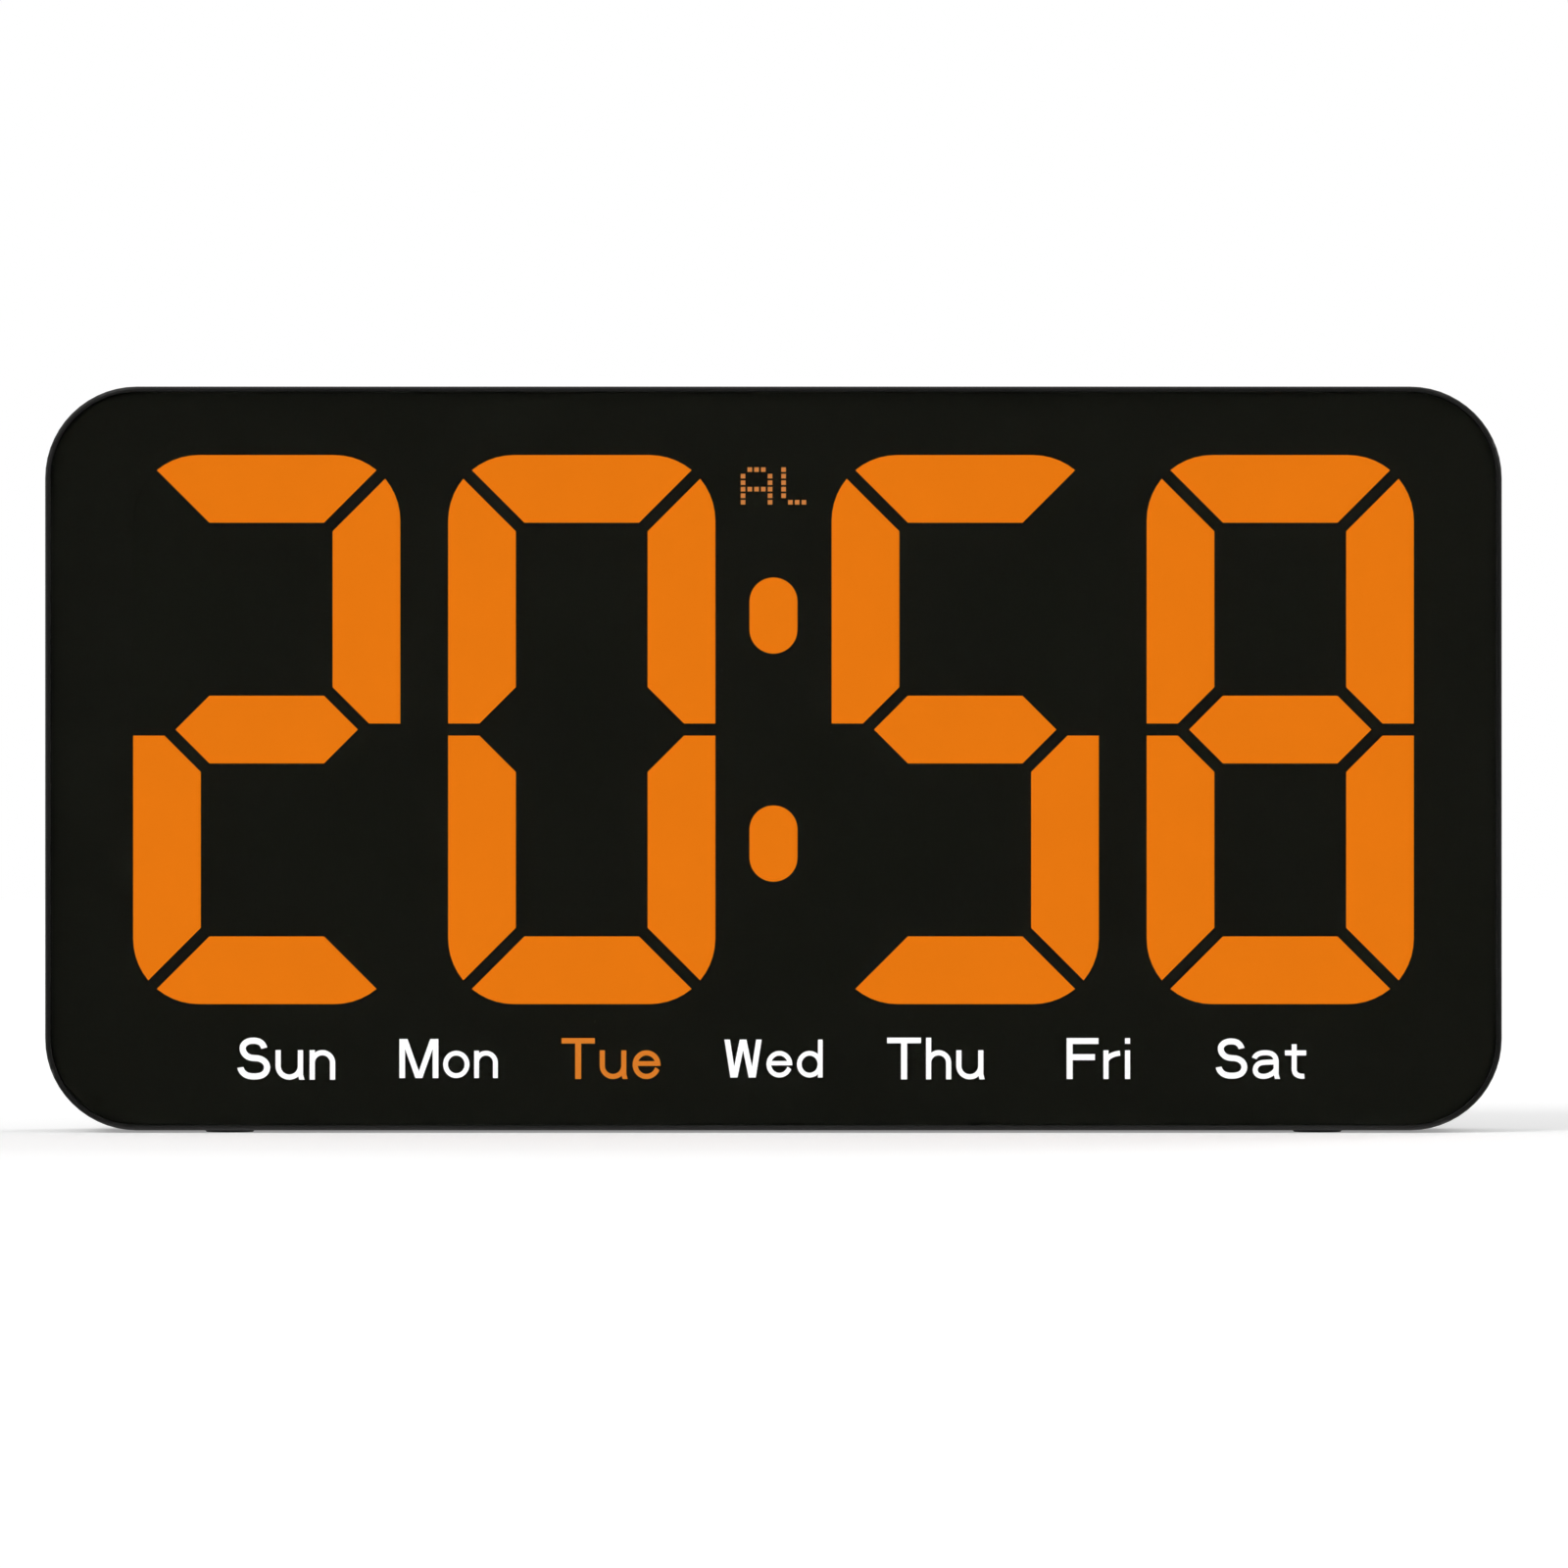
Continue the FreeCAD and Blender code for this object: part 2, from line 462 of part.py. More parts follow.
def glyph(letter):
    """(width, strokes) of one letter."""
    s, c, x = STEM, CAP_STEM, X_HEIGHT
    if letter == "S":
        return 0.787, [ribbon(c, (0.64, 0.745), (0.62, 0.80), (0.57, 0.866), (0.49, 0.908), (0.39, 0.921),
                              (0.28, 0.908), (0.19, 0.86), (0.14, 0.79), (0.133, 0.72), (0.155, 0.65),
                              (0.21, 0.58), (0.30, 0.527), (0.40, 0.511), (0.50, 0.503), (0.60, 0.465),
                              (0.68, 0.39), (0.708, 0.30), (0.68, 0.19), (0.60, 0.115), (0.50, 0.084),
                              (0.39, 0.078), (0.28, 0.09), (0.18, 0.135), (0.11, 0.21), (0.08, 0.29))]
    if letter == "M":
        return 0.998, [bar(0, 0, c, 1), bar(0.998 - c, 0, 0.998, 1), slant(0.486, 0, 0.131, 1, SLANT_STEM),
                       slant(0.512, 0, 0.867, 1, SLANT_STEM)]
    if letter == "W":
        return 0.989, [slant(0.234, 0, 0.076, 1, c), slant(0.274, 0, 0.48, 1, c),
                       slant(0.715, 0, 0.509, 1, c), slant(0.755, 0, 0.913, 1, c)]
    if letter == "T":
        return 0.813, [bar(0, 0.867, 0.813, 1), bar(0.4065 - c / 2, 0, 0.4065 + c / 2, 1)]
    if letter == "F":
        return 0.776, [bar(0, 0, c, 1), bar(0, 1 - c, 0.776, 1), bar(0, 0.46, 0.69, 0.46 + c)]
    if letter == "n":
        return arched(0.604, x)
    if letter == "h":
        return arched(0.604, 1)
    if letter == "u":
        return 0.683, [bar(0.65 - s, KICK_Z, 0.65, x), kick(0.65), arch(0, 0.65, 0.325, 0),
                       bar(0, 0.325, s, x)]
    if letter == "o":
        return 0.674, [ring(0, 0.674, 0, x)]
    if letter == "d":
        return 0.678, [ring(0, 0.67, 0, x), bar(0.678 - s, 0, 0.678, 1)]
    if letter == "e":
        return 0.681, [("open ring", (0, 0.681, 0, x, [(0.45, 0.322), (0.80, 0.322), (0.80, 0.096),
                                                       (0.595, 0.264)])),
                       bar(0.08, 0.32, 0.60, 0.435)]
    if letter == "a":
        return 0.678, [ribbon(s, (0.045, 0.505), (0.10, 0.58), (0.20, 0.63), (0.32, 0.642), (0.42, 0.633),
                              (0.50, 0.60), (0.56, 0.53), (0.582, 0.45), (0.583, 0.37)),
                       bar(0.645 - s, KICK_Z, 0.645, 0.38), kick(0.645),
                       ribbon(s, (0.583, 0.415), (0.45, 0.412), (0.32, 0.407), (0.20, 0.39), (0.11, 0.33),
                              (0.07, 0.23), (0.11, 0.12), (0.21, 0.068), (0.32, 0.065), (0.43, 0.10),
                              (0.52, 0.16), (0.58, 0.23))]
    if letter == "r":
        return 0.405, [bar(0, 0, s, x), ribbon(s, (s / 2, 0.42), (0.12, 0.525), (0.23, 0.59),
                                               (0.333, 0.62), (0.405, 0.63))]
    if letter == "i":
        return s, [bar(0, 0, s, x), bar(0, 0.86, s, 1)]
    if letter == "t":
        return 0.523, [bar(0, x - s, 0.523, x), bar(0.228 - s / 2, 0.24, 0.228 + s / 2, 0.853),
                       ribbon(s, (0.228, 0.28), (0.232, 0.20), (0.262, 0.13), (0.325, 0.085),
                              (0.40, 0.066), (0.478, 0.066))]
    raise ValueError(letter)


def ribbon_face(points, width):
    """An even stroke: a smooth line through the points, moved out by half the width to each side."""
    line = Part.BSplineCurve()
    line.interpolate([V(x, 0, z) for x, z in points])
    count = 6 * len(points)
    sides = ([], [])
    for k in range(count + 1):
        u = line.FirstParameter + (line.LastParameter - line.FirstParameter) * k / count
        at, along = line.value(u), line.tangent(u)[0]
        out = V(-along.z, 0, along.x).normalize() * (width / 2)
        sides[0].append(at + out)
        sides[1].append(at - out)
    curves = []
    for side in sides:
        c = Part.BSplineCurve()
        c.interpolate(side)
        curves.append(c.toShape())
    caps = [Part.makeLine(sides[0][0], sides[1][0]), Part.makeLine(sides[0][-1], sides[1][-1])]
    return Part.Face(Part.Wire(Part.__sortEdges__(curves + caps)))


def ellipse_face(x0, x1, z0, z1):
    a, b = (x1 - x0) / 2, (z1 - z0) / 2
    centre = V((x0 + x1) / 2, 0, (z0 + z1) / 2)
    long_end, short_end = (V(a, 0, 0), V(0, 0, b)) if a >= b else (V(0, 0, b), V(a, 0, 0))
    e = Part.Ellipse(centre + long_end, centre + short_end, centre)
    return Part.Face(Part.Wire([e.toShape()]))


def stroke_solid(stroke, thickness):
    kind, points = stroke
    if kind == "polygon":
        return polygon(points, 0, thickness)
    if kind == "ribbon":
        width, line = points
        return ribbon_face(line, width).extrude(V(0, thickness, 0))
    if kind == "arch":
        x0, x1, spring, crown = points
        bowl = stroke_solid(ring(x0, x1, 2 * spring - crown, crown), thickness)
        return bowl.common(box(x0, x1, 0, thickness, min(spring, crown), max(spring, crown)))
    x0, x1, z0, z1 = points[:4]
    z0, z1 = min(z0, z1), max(z0, z1)
    bowl = ellipse_face(x0, x1, z0, z1).extrude(V(0, thickness, 0))
    bowl = bowl.cut(ellipse_face(x0 + STEM, x1 - STEM, z0 + STEM, z1 - STEM).extrude(V(0, thickness, 0)))
    return bowl.cut(polygon(points[4], 0, thickness)) if kind == "open ring" else bowl


def day_name(k):
    """One day name, as separate solids that fill the mask's windows."""
    word, cap = DAY_CAPS[k]
    word = word.capitalize()
    glyphs = [glyph(c) for c in word]
    width = sum(w for w, _ in glyphs) + LETTER_GAP * (len(word) - 1)
    x, solids = -width / 2, []
    for w, strokes in glyphs:
        letter = join([stroke_solid(s, FILM_T / cap) for s in strokes])
        for part in letter.Solids:
            part.translate(V(x, 0, 0))
            part.scale(cap, V(0, 0, 0))
            part.translate(V(day_x(k), LENS_Y1, DAY_MID_Z - cap / 2))
            solids.append(part)
        x += w + LETTER_GAP
    return solids


# ---------------------------------------------------------------- front stack
def front_bezel():
    body = case_slab(0, FRONT_Y, SEAM_Y)
    body = body.makeFillet(RIM_ROUND, edges_at(body, lambda p: near(p.y, FRONT_Y)))
    body = body.makeChamfer(SEAM_CHAMFER, edges_at(body, lambda p: near(p.y, SEAM_Y)))
    body = cut(body, [case_slab(RIM_W, FRONT_Y - 1, SHELF_Y),
                      slab(WINDOW_W, WINDOW_H, WINDOW_R, FRONT_Y - 1, SEAM_Y + 1),
                      case_slab(WALL, FLANGE_Y1, SEAM_Y + 1)])
    bosses = [rod(x, z, CASE_BOSS_R, FLANGE_Y1 - 0.5, SEAM_Y) for x, z in CASE_BOSSES]
    bosses += [rod(x, z, BOARD_BOSS_R, FLANGE_Y1 - 0.5, REFLECTOR_Y1) for x, z in BOARD_SCREWS]
    body = join([body] + bosses)
    holes = [rod(x, z, CASE_SCREW_R, SCREW_SEAT_Y - CASE_SCREW_L - 0.6, SEAM_Y + 1) for x, z in CASE_BOSSES]
    holes += [rod(x, z, BOARD_SCREW_R, FLANGE_Y1 + 0.3, SEAM_Y) for x, z in BOARD_SCREWS]
    return cut(body, holes + [foot(sx * FOOT_X, FOOT_Y[0]) for sx in (-1, 1)])


def foot(x, y):
    return rod_z(x, y, FOOT_R, 0.0, FOOT_T)


def rubber_feet():
    feet = []
    for sx in (-1, 1):
        for y in FOOT_Y:
            disc = foot(sx * FOOT_X, y)
            feet.append(disc.makeChamfer(0.25, edges_at(disc, lambda p: near(p.z, 0))))
    return feet


def front_lens():
    plate = case_slab(RIM_W + LENS_GAP, LENS_Y0, LENS_Y1)
    return plate.makeChamfer(0.15, edges_at(plate, lambda p: near(p.y, LENS_Y0)))


def mask_film(names):
    film = case_slab(RIM_W + FILM_INSET, LENS_Y1, FILM_Y1)
    windows = [w for x in DIGIT_X for w in segments(x, 0, LENS_Y1 - 1, FILM_Y1 + 1)]
    windows += colon(0, LENS_Y1 - 1, FILM_Y1 + 1) + alarm_dots(LENS_Y1 - 1, FILM_Y1 + 1)
    return cut(film, windows + [letter for name in names for letter in name])


def lens_tape():
    opening = slab(WINDOW_W + 2 * TAPE_SET, WINDOW_H + 2 * TAPE_SET, WINDOW_R + TAPE_SET, FILM_Y1 - 1,
                   SHELF_Y + 1)
    return cut(case_slab(RIM_W + FILM_INSET, FILM_Y1, SHELF_Y), [opening])


# ---------------------------------------------------------------- reflector and display board
def reflector_frame():
    tile_y = FILM_Y1 + DIFFUSER_T
    front, back = FILM_Y1 - 1, REFLECTOR_Y1 + 1
    body = slab(REFLECTOR_W, REFLECTOR_H, WINDOW_R - REFLECTOR_GAP, FILM_Y1, REFLECTOR_Y1)
    tools = []
    lap = DIFFUSER_LAP + INSERT_GAP
    for x in DIGIT_X:
        tools += segments(x, lap, front, tile_y) + segments(x, -CAVITY_STEP, front, back)
        for z in (DIGIT_Z + CORE_RISE, DIGIT_Z - CORE_RISE):
            tools.append(slab(CORE_W, CORE_H, 1.0, FILM_Y1 + CORE_SKIN, back, x, z))
    tools += colon(lap, front, tile_y) + colon(-CAVITY_STEP, front, back)
    tools += [alarm_plate(INSERT_GAP, front, tile_y), alarm_plate(-ALARM_MARGIN, front, back)]
    tools += day_cells(INSERT_GAP, front, tile_y) + day_cells(-DAY_CELL_STEP, front, back)
    body = cut(body, tools)
    stakes = [rod(x, z, STAKE_R, REFLECTOR_Y1 - 1, BOARD_Y1 + STAKE_HEAD_T) for x, z in STAKES]
    stakes += [rod(x, z, STAKE_HEAD_R, BOARD_Y1, BOARD_Y1 + STAKE_HEAD_T) for x, z in STAKES]
    return join([body] + stakes)


def digit_tiles(k, lit):
    """The diffuser tiles of digit k that are lit, or those that are dark."""
    tiles = segments(DIGIT_X[k], DIFFUSER_LAP, FILM_Y1, FILM_Y1 + DIFFUSER_T)
    return [tile for name, tile in zip("abcdefg", tiles) if (name in SHOWN[k]) == lit]


def diode(x, z, upright):
    """A flat light-emitting diode with a round dish in its face."""
    length, width = (LED_W, LED_L) if upright else (LED_L, LED_W)
    face = REFLECTOR_Y1 - LED_H
    body = box(x - length / 2, x + length / 2, face, REFLECTOR_Y1, z - width / 2, z + width / 2)
    dish = Part.makeCone(LED_DISH_R, LED_DISH_R - 0.3, LED_DISH_DEEP, V(x, face, z), V(0, 1, 0))
    return cut(body, [dish])


def segment_leds():
    """Diodes under every segment, both colon dots, the alarm sign and the day names."""
    side, level = DIGIT_W / 2 - SEGMENT_T / 2, DIGIT_H / 2 - SEGMENT_T / 2
    leds = []
    for x in DIGIT_X:
        for sx in (-1, 1):
            for sz in (-1, 1):
                for k in range(LEDS_UPRIGHT):
                    z = DIGIT_Z + sz * DIGIT_H / 4 + (k - (LEDS_UPRIGHT - 1) / 2) * LED_STEP
                    leds.append(diode(x + sx * side, z, True))
        for z in (DIGIT_Z + level, DIGIT_Z, DIGIT_Z - level):
            leds += [diode(x + (k - (LEDS_LEVEL - 1) / 2) * LED_STEP, z, False) for k in range(LEDS_LEVEL)]
    leds += [diode(0.0, DIGIT_Z + s * COLON_SPREAD, True) for s in (-1, 1)]
    leds.append(diode(0.0, MID_Z + ALARM_RISE, False))
    for k in range(len(DAY_CAPS)):
        leds += [diode(day_x(k) + s * LED_STEP / 2, DAY_MID_Z, False) for s in (-1, 1)]
    return leds


def display_board():
    board = box(-BOARD_HALF_W, BOARD_HALF_W, REFLECTOR_Y1, BOARD_Y1, MID_Z - BOARD_HALF_H,
                MID_Z + BOARD_HALF_H)
    y0, y1 = REFLECTOR_Y1 - 1, BOARD_Y1 + 1
    holes = [rod(x, z, CASE_BOSS_R + BOSS_CLEARANCE, y0, y1) for x, z in CASE_BOSSES]
    holes += [rod(x, z, BOARD_SCREW_R + 0.2, y0, y1) for x, z in BOARD_SCREWS]
    holes += [rod(x, z, STAKE_R, y0, y1) for x, z in STAKES]
    return cut(board, holes)


def screw(x, z, y_seat, direction, shank_r, shank_l, head_r, head_t):
    """A pan-head screw with a cross recess; its shank points along direction on Y."""
    s = direction
    head = Part.makeCylinder(head_r, head_t, V(x, y_seat, z), V(0, -s, 0))
    head = head.makeFillet(head_t * 0.45, edges_at(head, lambda p: near(p.y, y_seat - s * head_t)))
    shank = Part.makeCylinder(shank_r, shank_l, V(x, y_seat, z), V(0, s, 0))
    shank = shank.makeChamfer(shank_r * 0.4, edges_at(shank, lambda p: near(p.y, y_seat + s * shank_l)))
    top = y_seat - s * head_t
    y0, y1 = min(top, top + s * CROSS_DEEP), max(top, top + s * CROSS_DEEP)
    a, b = CROSS_L / 2, CROSS_W / 2
    cross = [box(x - a, x + a, y0, y1, z - b, z + b), box(x - b, x + b, y0, y1, z - a, z + a)]
    return cut(join([head, shank]), cross)


def case_screws():
    return [screw(x, z, SCREW_SEAT_Y, -1, CASE_SCREW_R, CASE_SCREW_L, CASE_HEAD_R, CASE_HEAD_T)
            for x, z in CASE_BOSSES]


def display_board_screws():
    return [screw(x, z, BOARD_Y1, -1, BOARD_SCREW_R, BOARD_SCREW_L, BOARD_HEAD_R, BOARD_HEAD_T)
            for x, z in BOARD_SCREWS]


def control_board_screws():
    return [screw(x, FOOT_Z + z, CONTROL_Y0, 1, BOARD_SCREW_R, BOARD_SCREW_L, BOARD_HEAD_R, BOARD_HEAD_T)
            for x, z in CONTROL_POSTS]


def driver_chips():
    """Display drivers on the back of the display board, each with leads down both long sides."""
    parts = []
    for x in DRIVER_X:
        parts.append(box(x - DRIVER_L / 2, x + DRIVER_L / 2, BOARD_Y1 + CHIP_LIFT, BOARD_Y1 + DRIVER_T,
                         DRIVER_Z - DRIVER_W / 2, DRIVER_Z + DRIVER_W / 2))
        for side in (-1, 1):
            edge = DRIVER_Z + side * DRIVER_W / 2
            leg_z, toe_z = sorted((edge, edge + side * LEAD_T)), sorted((edge, edge + side * LEAD_L))
            for k in range(DRIVER_LEADS):
                x0 = x + (k - (DRIVER_LEADS - 1) / 2) * DRIVER_PITCH - LEAD_W / 2
                leg = box(x0, x0 + LEAD_W, BOARD_Y1, BOARD_Y1 + DRIVER_T / 2, *leg_z)
                toe = box(x0, x0 + LEAD_W, BOARD_Y1, BOARD_Y1 + LEAD_T, *toe_z)
                parts.append(join([leg, toe]))
    return parts


def board_connector():
    """Pin header and socket that join the two boards."""
    pins = HEADER_PINS
    half = pins * HEADER_PITCH / 2
    z0, z1 = HEADER_Z - HEADER_PITCH / 2, HEADER_Z + HEADER_PITCH / 2
    x0, x1 = HEADER_X - half, HEADER_X + half
    split = BOARD_Y1 + HEADER_PITCH
    header, socket = box(x0, x1, BOARD_Y1, split, z0, z1), box(x0, x1, split, CONTROL_Y0, z0, z1)
    h = HEADER_PIN / 2
    rods = []
    for k in range(pins):
        x = x0 + (k + 0.5) * HEADER_PITCH
        rods.append(box(x - h, x + h, BOARD_Y1, CONTROL_Y0 - 1.0, HEADER_Z - h, HEADER_Z + h))
    return [cut(header, rods), cut(socket, rods)] + rods


# ---------------------------------------------------------------- rear cover
def pan(grow, y0, y1):
    """The stand's recess, moved out sideways by grow. Its lower corners follow the leg's."""
    g = STAND_SIDE_GAP + grow
    low, high = HINGE_Z - STAND_L - g, HINGE_Z + STAND_TOP_GAP + grow
    middle = (low + high) / 2
    rounded = slab(STAND_W + 2 * g, high - low, STAND_CORNER_R + g, y0, y1, 0.0, middle)
    return join([rounded, box(-STAND_W / 2 - g, STAND_W / 2 + g, y0, y1, middle, high)])


def door_hollow(grow, y0, y1):
    """The door's recess in the back, moved out by grow."""
    g = DOOR_GAP + grow
    x_mid, z_mid = (DOOR_X0 + DOOR_X1) / 2, (DOOR_Z0 + DOOR_Z1) / 2
    rounded = slab(DOOR_X1 - DOOR_X0 + 2 * g, DOOR_Z1 - DOOR_Z0 + 2 * g, DOOR_R, y0, y1, x_mid, z_mid)
    return join([rounded, box(DOOR_X0 - g, DOOR_X1 + g, y0, y1, z_mid, DOOR_Z1 + g)])


def cell_z(k):
    return BAY_Z0 + CELL_R + CELL_GAP + k * CELL_PITCH


def cell_hollow():
    troughs = [rod_x(CELL_Y, cell_z(k), CELL_R + CELL_GAP, BAY_X0, BAY_X1) for k in range(CELLS)]
    return join(troughs + [box(BAY_X0, BAY_X1, CELL_Y, BACK_Y, BAY_Z0, BAY_Z1)])


def keyhole(x, grow, y0, y1, radius, slot):
    """A keyhole: a round entry with a slot that rises from it."""
    return join([rod(x, FOOT_Z + KEY_Z, radius + grow, y0, y1),
                 slab(slot + 2 * grow, KEY_RISE + slot + 2 * grow, slot / 2 + grow, y0, y1, x,
                      FOOT_Z + KEY_Z + KEY_RISE / 2)])


def key_cup(x, grow, y0, y1):
    """The hollow behind a keyhole that takes the screw's head."""
    w = KEY_POCKET_W + 2 * grow
    return slab(w, w + KEY_RISE, w / 2, y0, y1, x, FOOT_Z + KEY_Z + KEY_RISE / 2)


def button_x(k):
    return BUTTON_X0 + k * BUTTON_PITCH


def case_shell():
    outer = case_slab(0, SEAM_Y, BACK_Y)
    outer = outer.makeFillet(BACK_ROUND, edges_at(outer, lambda p: near(p.y, BACK_Y)))
    outer = outer.makeChamfer(SEAM_CHAMFER, edges_at(outer, lambda p: near(p.y, SEAM_Y)))
    return cut(outer, [case_slab(WALL, SEAM_Y - 1, INNER_Y)])


def tongue():
    """The lip that enters the bezel, cleared where the bezel's bosses stand."""
    outside, inside = WALL + FIT_GAP, WALL + FIT_GAP + TONGUE_T
    ring_y = SEAM_Y + TONGUE_L
    lip = cut(case_slab(outside, SEAM_Y - TONGUE_L, ring_y), [case_slab(inside, SEAM_Y - 5, ring_y + 1)])
    root = cut(case_slab(WALL - 0.4, SEAM_Y, ring_y), [case_slab(inside, SEAM_Y - 5, ring_y + 1)])
    gaps = [rod(x, z, CASE_BOSS_R + BOSS_CLEARANCE, SEAM_Y - 5, SEAM_Y) for x, z in CASE_BOSSES]
    return cut(join([lip, root]), gaps)


def cover_additions():
    deep = INNER_Y + 0.3
    parts = [tongue()]
    parts += [rod(x, z, REAR_BOSS_R, SEAM_Y, deep) for x, z in CASE_BOSSES]
    parts += [rod(x, FOOT_Z + z, BOARD_BOSS_R, CONTROL_Y1, deep) for x, z in CONTROL_POSTS]
    parts.append(pan(PAN_T, PAN_Y - PAN_T, deep))
    a = STAND_W / 2 + STAND_SIDE_GAP
    for s in (-1, 1):
        x0, x1 = sorted((s * a, s * (a + LUG_W)))
        parts.append(box(x0, x1, PAN_Y - PAN_T, deep, HINGE_Z - LUG_HALF, HINGE_Z + LUG_HALF))
    parts.append(rod(a, FOOT_Z + SCOOP_HEIGHT, SCOOP_R + PAN_T, PAN_Y - PAN_T, deep))
    parts.append(box(BAY_X0 - BAY_WALL, BAY_X1 + BAY_WALL, BAY_FLOOR_Y - BAY_WALL, deep,
                     BAY_Z0 - BAY_WALL, BAY_Z1 + BAY_WALL))
    parts.append(door_hollow(BAY_WALL, DOOR_POCKET_Y - DOOR_LEDGE_T, deep))
    parts += [key_cup(s * KEY_X, KEY_POCKET_T, INNER_Y - KEY_POCKET_D - KEY_POCKET_T, deep) for s in (-1, 1)]
    return parts


def cover_cuts():
    out = BACK_Y + 1
    a = STAND_W / 2 + STAND_SIDE_GAP
    cuts = [pan(0, PAN_Y, out), rod(a, FOOT_Z + SCOOP_HEIGHT, SCOOP_R, PAN_Y, out)]
    cuts.append(rod_x(HINGE_Y, HINGE_Z, STAND_PIN_R, -a - STAND_PIN_OUT, a + LUG_W + 1))
    cuts += [cell_hollow(), door_hollow(0, DOOR_POCKET_Y, out)]
    reach = DOOR_GAP + DOOR_PIN_L
    cuts.append(rod_x(DOOR_PIN_Y, DOOR_PIN_Z, DOOR_PIN_R + PIN_GAP, DOOR_X0 - reach, DOOR_X1 + reach))
    cuts.append(rod((DOOR_X0 + DOOR_X1) / 2, DOOR_Z0 + NOTCH_R - NOTCH_REACH, NOTCH_R, BACK_Y - NOTCH_DEEP,
                    out))
    cuts += [contact_plate(k, INSERT_GAP) for k in range(len(CONTACTS))]
    for x, z in CASE_BOSSES:
        cuts.append(rod(x, z, CASE_SCREW_R + 0.2, SEAM_Y - 1, out))
        cuts.append(rod(x, z, CASE_HEAD_R + 0.25, SCREW_SEAT_Y, out))
    cuts += [rod(x, FOOT_Z + z, BOARD_SCREW_R, CONTROL_Y1 - 1, CONTROL_Y1 + BOARD_SCREW_L - BOARD_T + 0.3)
             for x, z in CONTROL_POSTS]
    for s in (-1, 1):
        cuts += [keyhole(s * KEY_X, 0, INNER_Y - 1, out, KEY_R, KEY_SLOT),
                 key_cup(s * KEY_X, 0, INNER_Y - KEY_POCKET_D, INNER_Y), foot(s * FOOT_X, FOOT_Y[1])]
    cuts.append(slab(BUTTON_W + BUTTON_PITCH * (len(BUTTON_NAMES) - 1) + 2 * BUTTON_POCKET_MARGIN,
                     BUTTON_H + 2 * BUTTON_POCKET_MARGIN, 3.0, BACK_Y - BUTTON_POCKET_D, out,
                     (button_x(0) + button_x(len(BUTTON_NAMES) - 1)) / 2, FOOT_Z + BUTTON_Z))
    cuts += [slab(BUTTON_W + 2 * BUTTON_HOLE_GAP, BUTTON_H + 2 * BUTTON_HOLE_GAP, 1.5 + BUTTON_HOLE_GAP,
                  INNER_Y - 1, out, button_x(k), FOOT_Z + BUTTON_Z) for k in range(len(BUTTON_NAMES))]
    cuts.append(slab_z(SNOOZE_W + 2 * SNOOZE_GAP, SNOOZE_D + 2 * SNOOZE_GAP, 2.0 + SNOOZE_GAP,
                       TOP_Z - WALL - 1, TOP_Z + 1, 0.0, SNOOZE_Y))
    cuts.append(slab(USB_W + 2 * USB_GAP, USB_H + 2 * USB_GAP, USB_H / 2 + USB_GAP, INNER_Y - 1, out,
                     USB_X, FOOT_Z + USB_Z))
    m = USB_RECESS_MARGIN
    cuts.append(slab(USB_W + 2 * m, USB_H + 2 * m, USB_H / 2 + m, BACK_Y - USB_RECESS_DEEP, out, USB_X,
                     FOOT_Z + USB_Z))
    for k in range(7):
        turn, reach = math.radians(60 * k), GRILLE_PITCH if k < 6 else 0.0
        x, z = BUZZER_X + reach * math.cos(turn), FOOT_Z + BUZZER_Z + reach * math.sin(turn)
        cuts.append(rod(x, z, GRILLE_R, INNER_Y - 1, out))
    cuts += [slab(VENT_W, VENT_L, VENT_W / 2, INNER_Y - 1, out, VENT_X + (k - (VENTS - 1) / 2) * VENT_PITCH,
                  FOOT_Z + VENT_Z) for k in range(VENTS)]
    return cuts


def rear_cover():
    inside = case_slab(0, SEAM_Y - TONGUE_L, INNER_Y + 0.4)
    walls = [part.common(inside) for part in cover_additions()]
    return cut(join([case_shell()] + walls), cover_cuts())


# ---------------------------------------------------------------- battery bay
def plus_at_x1(k):
    """Whether cell k has its positive end nearest the middle of the case."""
    return k % 2 == 0


def aaa_cells():
    cells = []
    for k in range(CELLS):
        z = cell_z(k)
        if plus_at_x1(k):
            x1 = BAY_X1 - CONTACT_T
            x_nub, x0 = x1 - NUB_L, x1 - NUB_L - CELL_L
            nub = rod_x(CELL_Y, z, NUB_R, x_nub, x1)
        else:
            x_nub = BAY_X0 + CONTACT_T
            x0 = x_nub + NUB_L
            nub = rod_x(CELL_Y, z, NUB_R, x_nub, x0)
        can = rod_x(CELL_Y, z, CELL_R, x0, x0 + CELL_L)
        can = can.makeFillet(0.5, [e for e in can.Edges if e.Curve.TypeId == "Part::GeomCircle"])
        cells.append(join([can, nub]))
    return cells


def battery_springs():
    """Cone springs that press on the flat ends of the cells."""
    springs = []
    for k in range(CELLS):
        s = 1 if plus_at_x1(k) else -1
        base = BAY_X0 + CONTACT_T if s > 0 else BAY_X1 - CONTACT_T
        height = SPRING_L - 2 * WIRE_R
        helix = Part.makeHelix(height / SPRING_TURNS, height, SPRING_R0,
                               -math.degrees(math.atan((SPRING_R0 - SPRING_R1) / height)))
        start = helix.Edges[0].valueAt(helix.Edges[0].FirstParameter)
        along = helix.Edges[0].tangentAt(helix.Edges[0].FirstParameter)
        circle = Part.Wire([Part.makeCircle(WIRE_R, start, along)])
        coil = Part.Wire(helix.Edges).makePipeShell([circle], True, True)
        coil.rotate(V(0, 0, 0), V(0, 1, 0), 90 * s)
        coil.translate(V(base + s * WIRE_R, CELL_Y, cell_z(k)))
        springs.append(coil)
    return springs


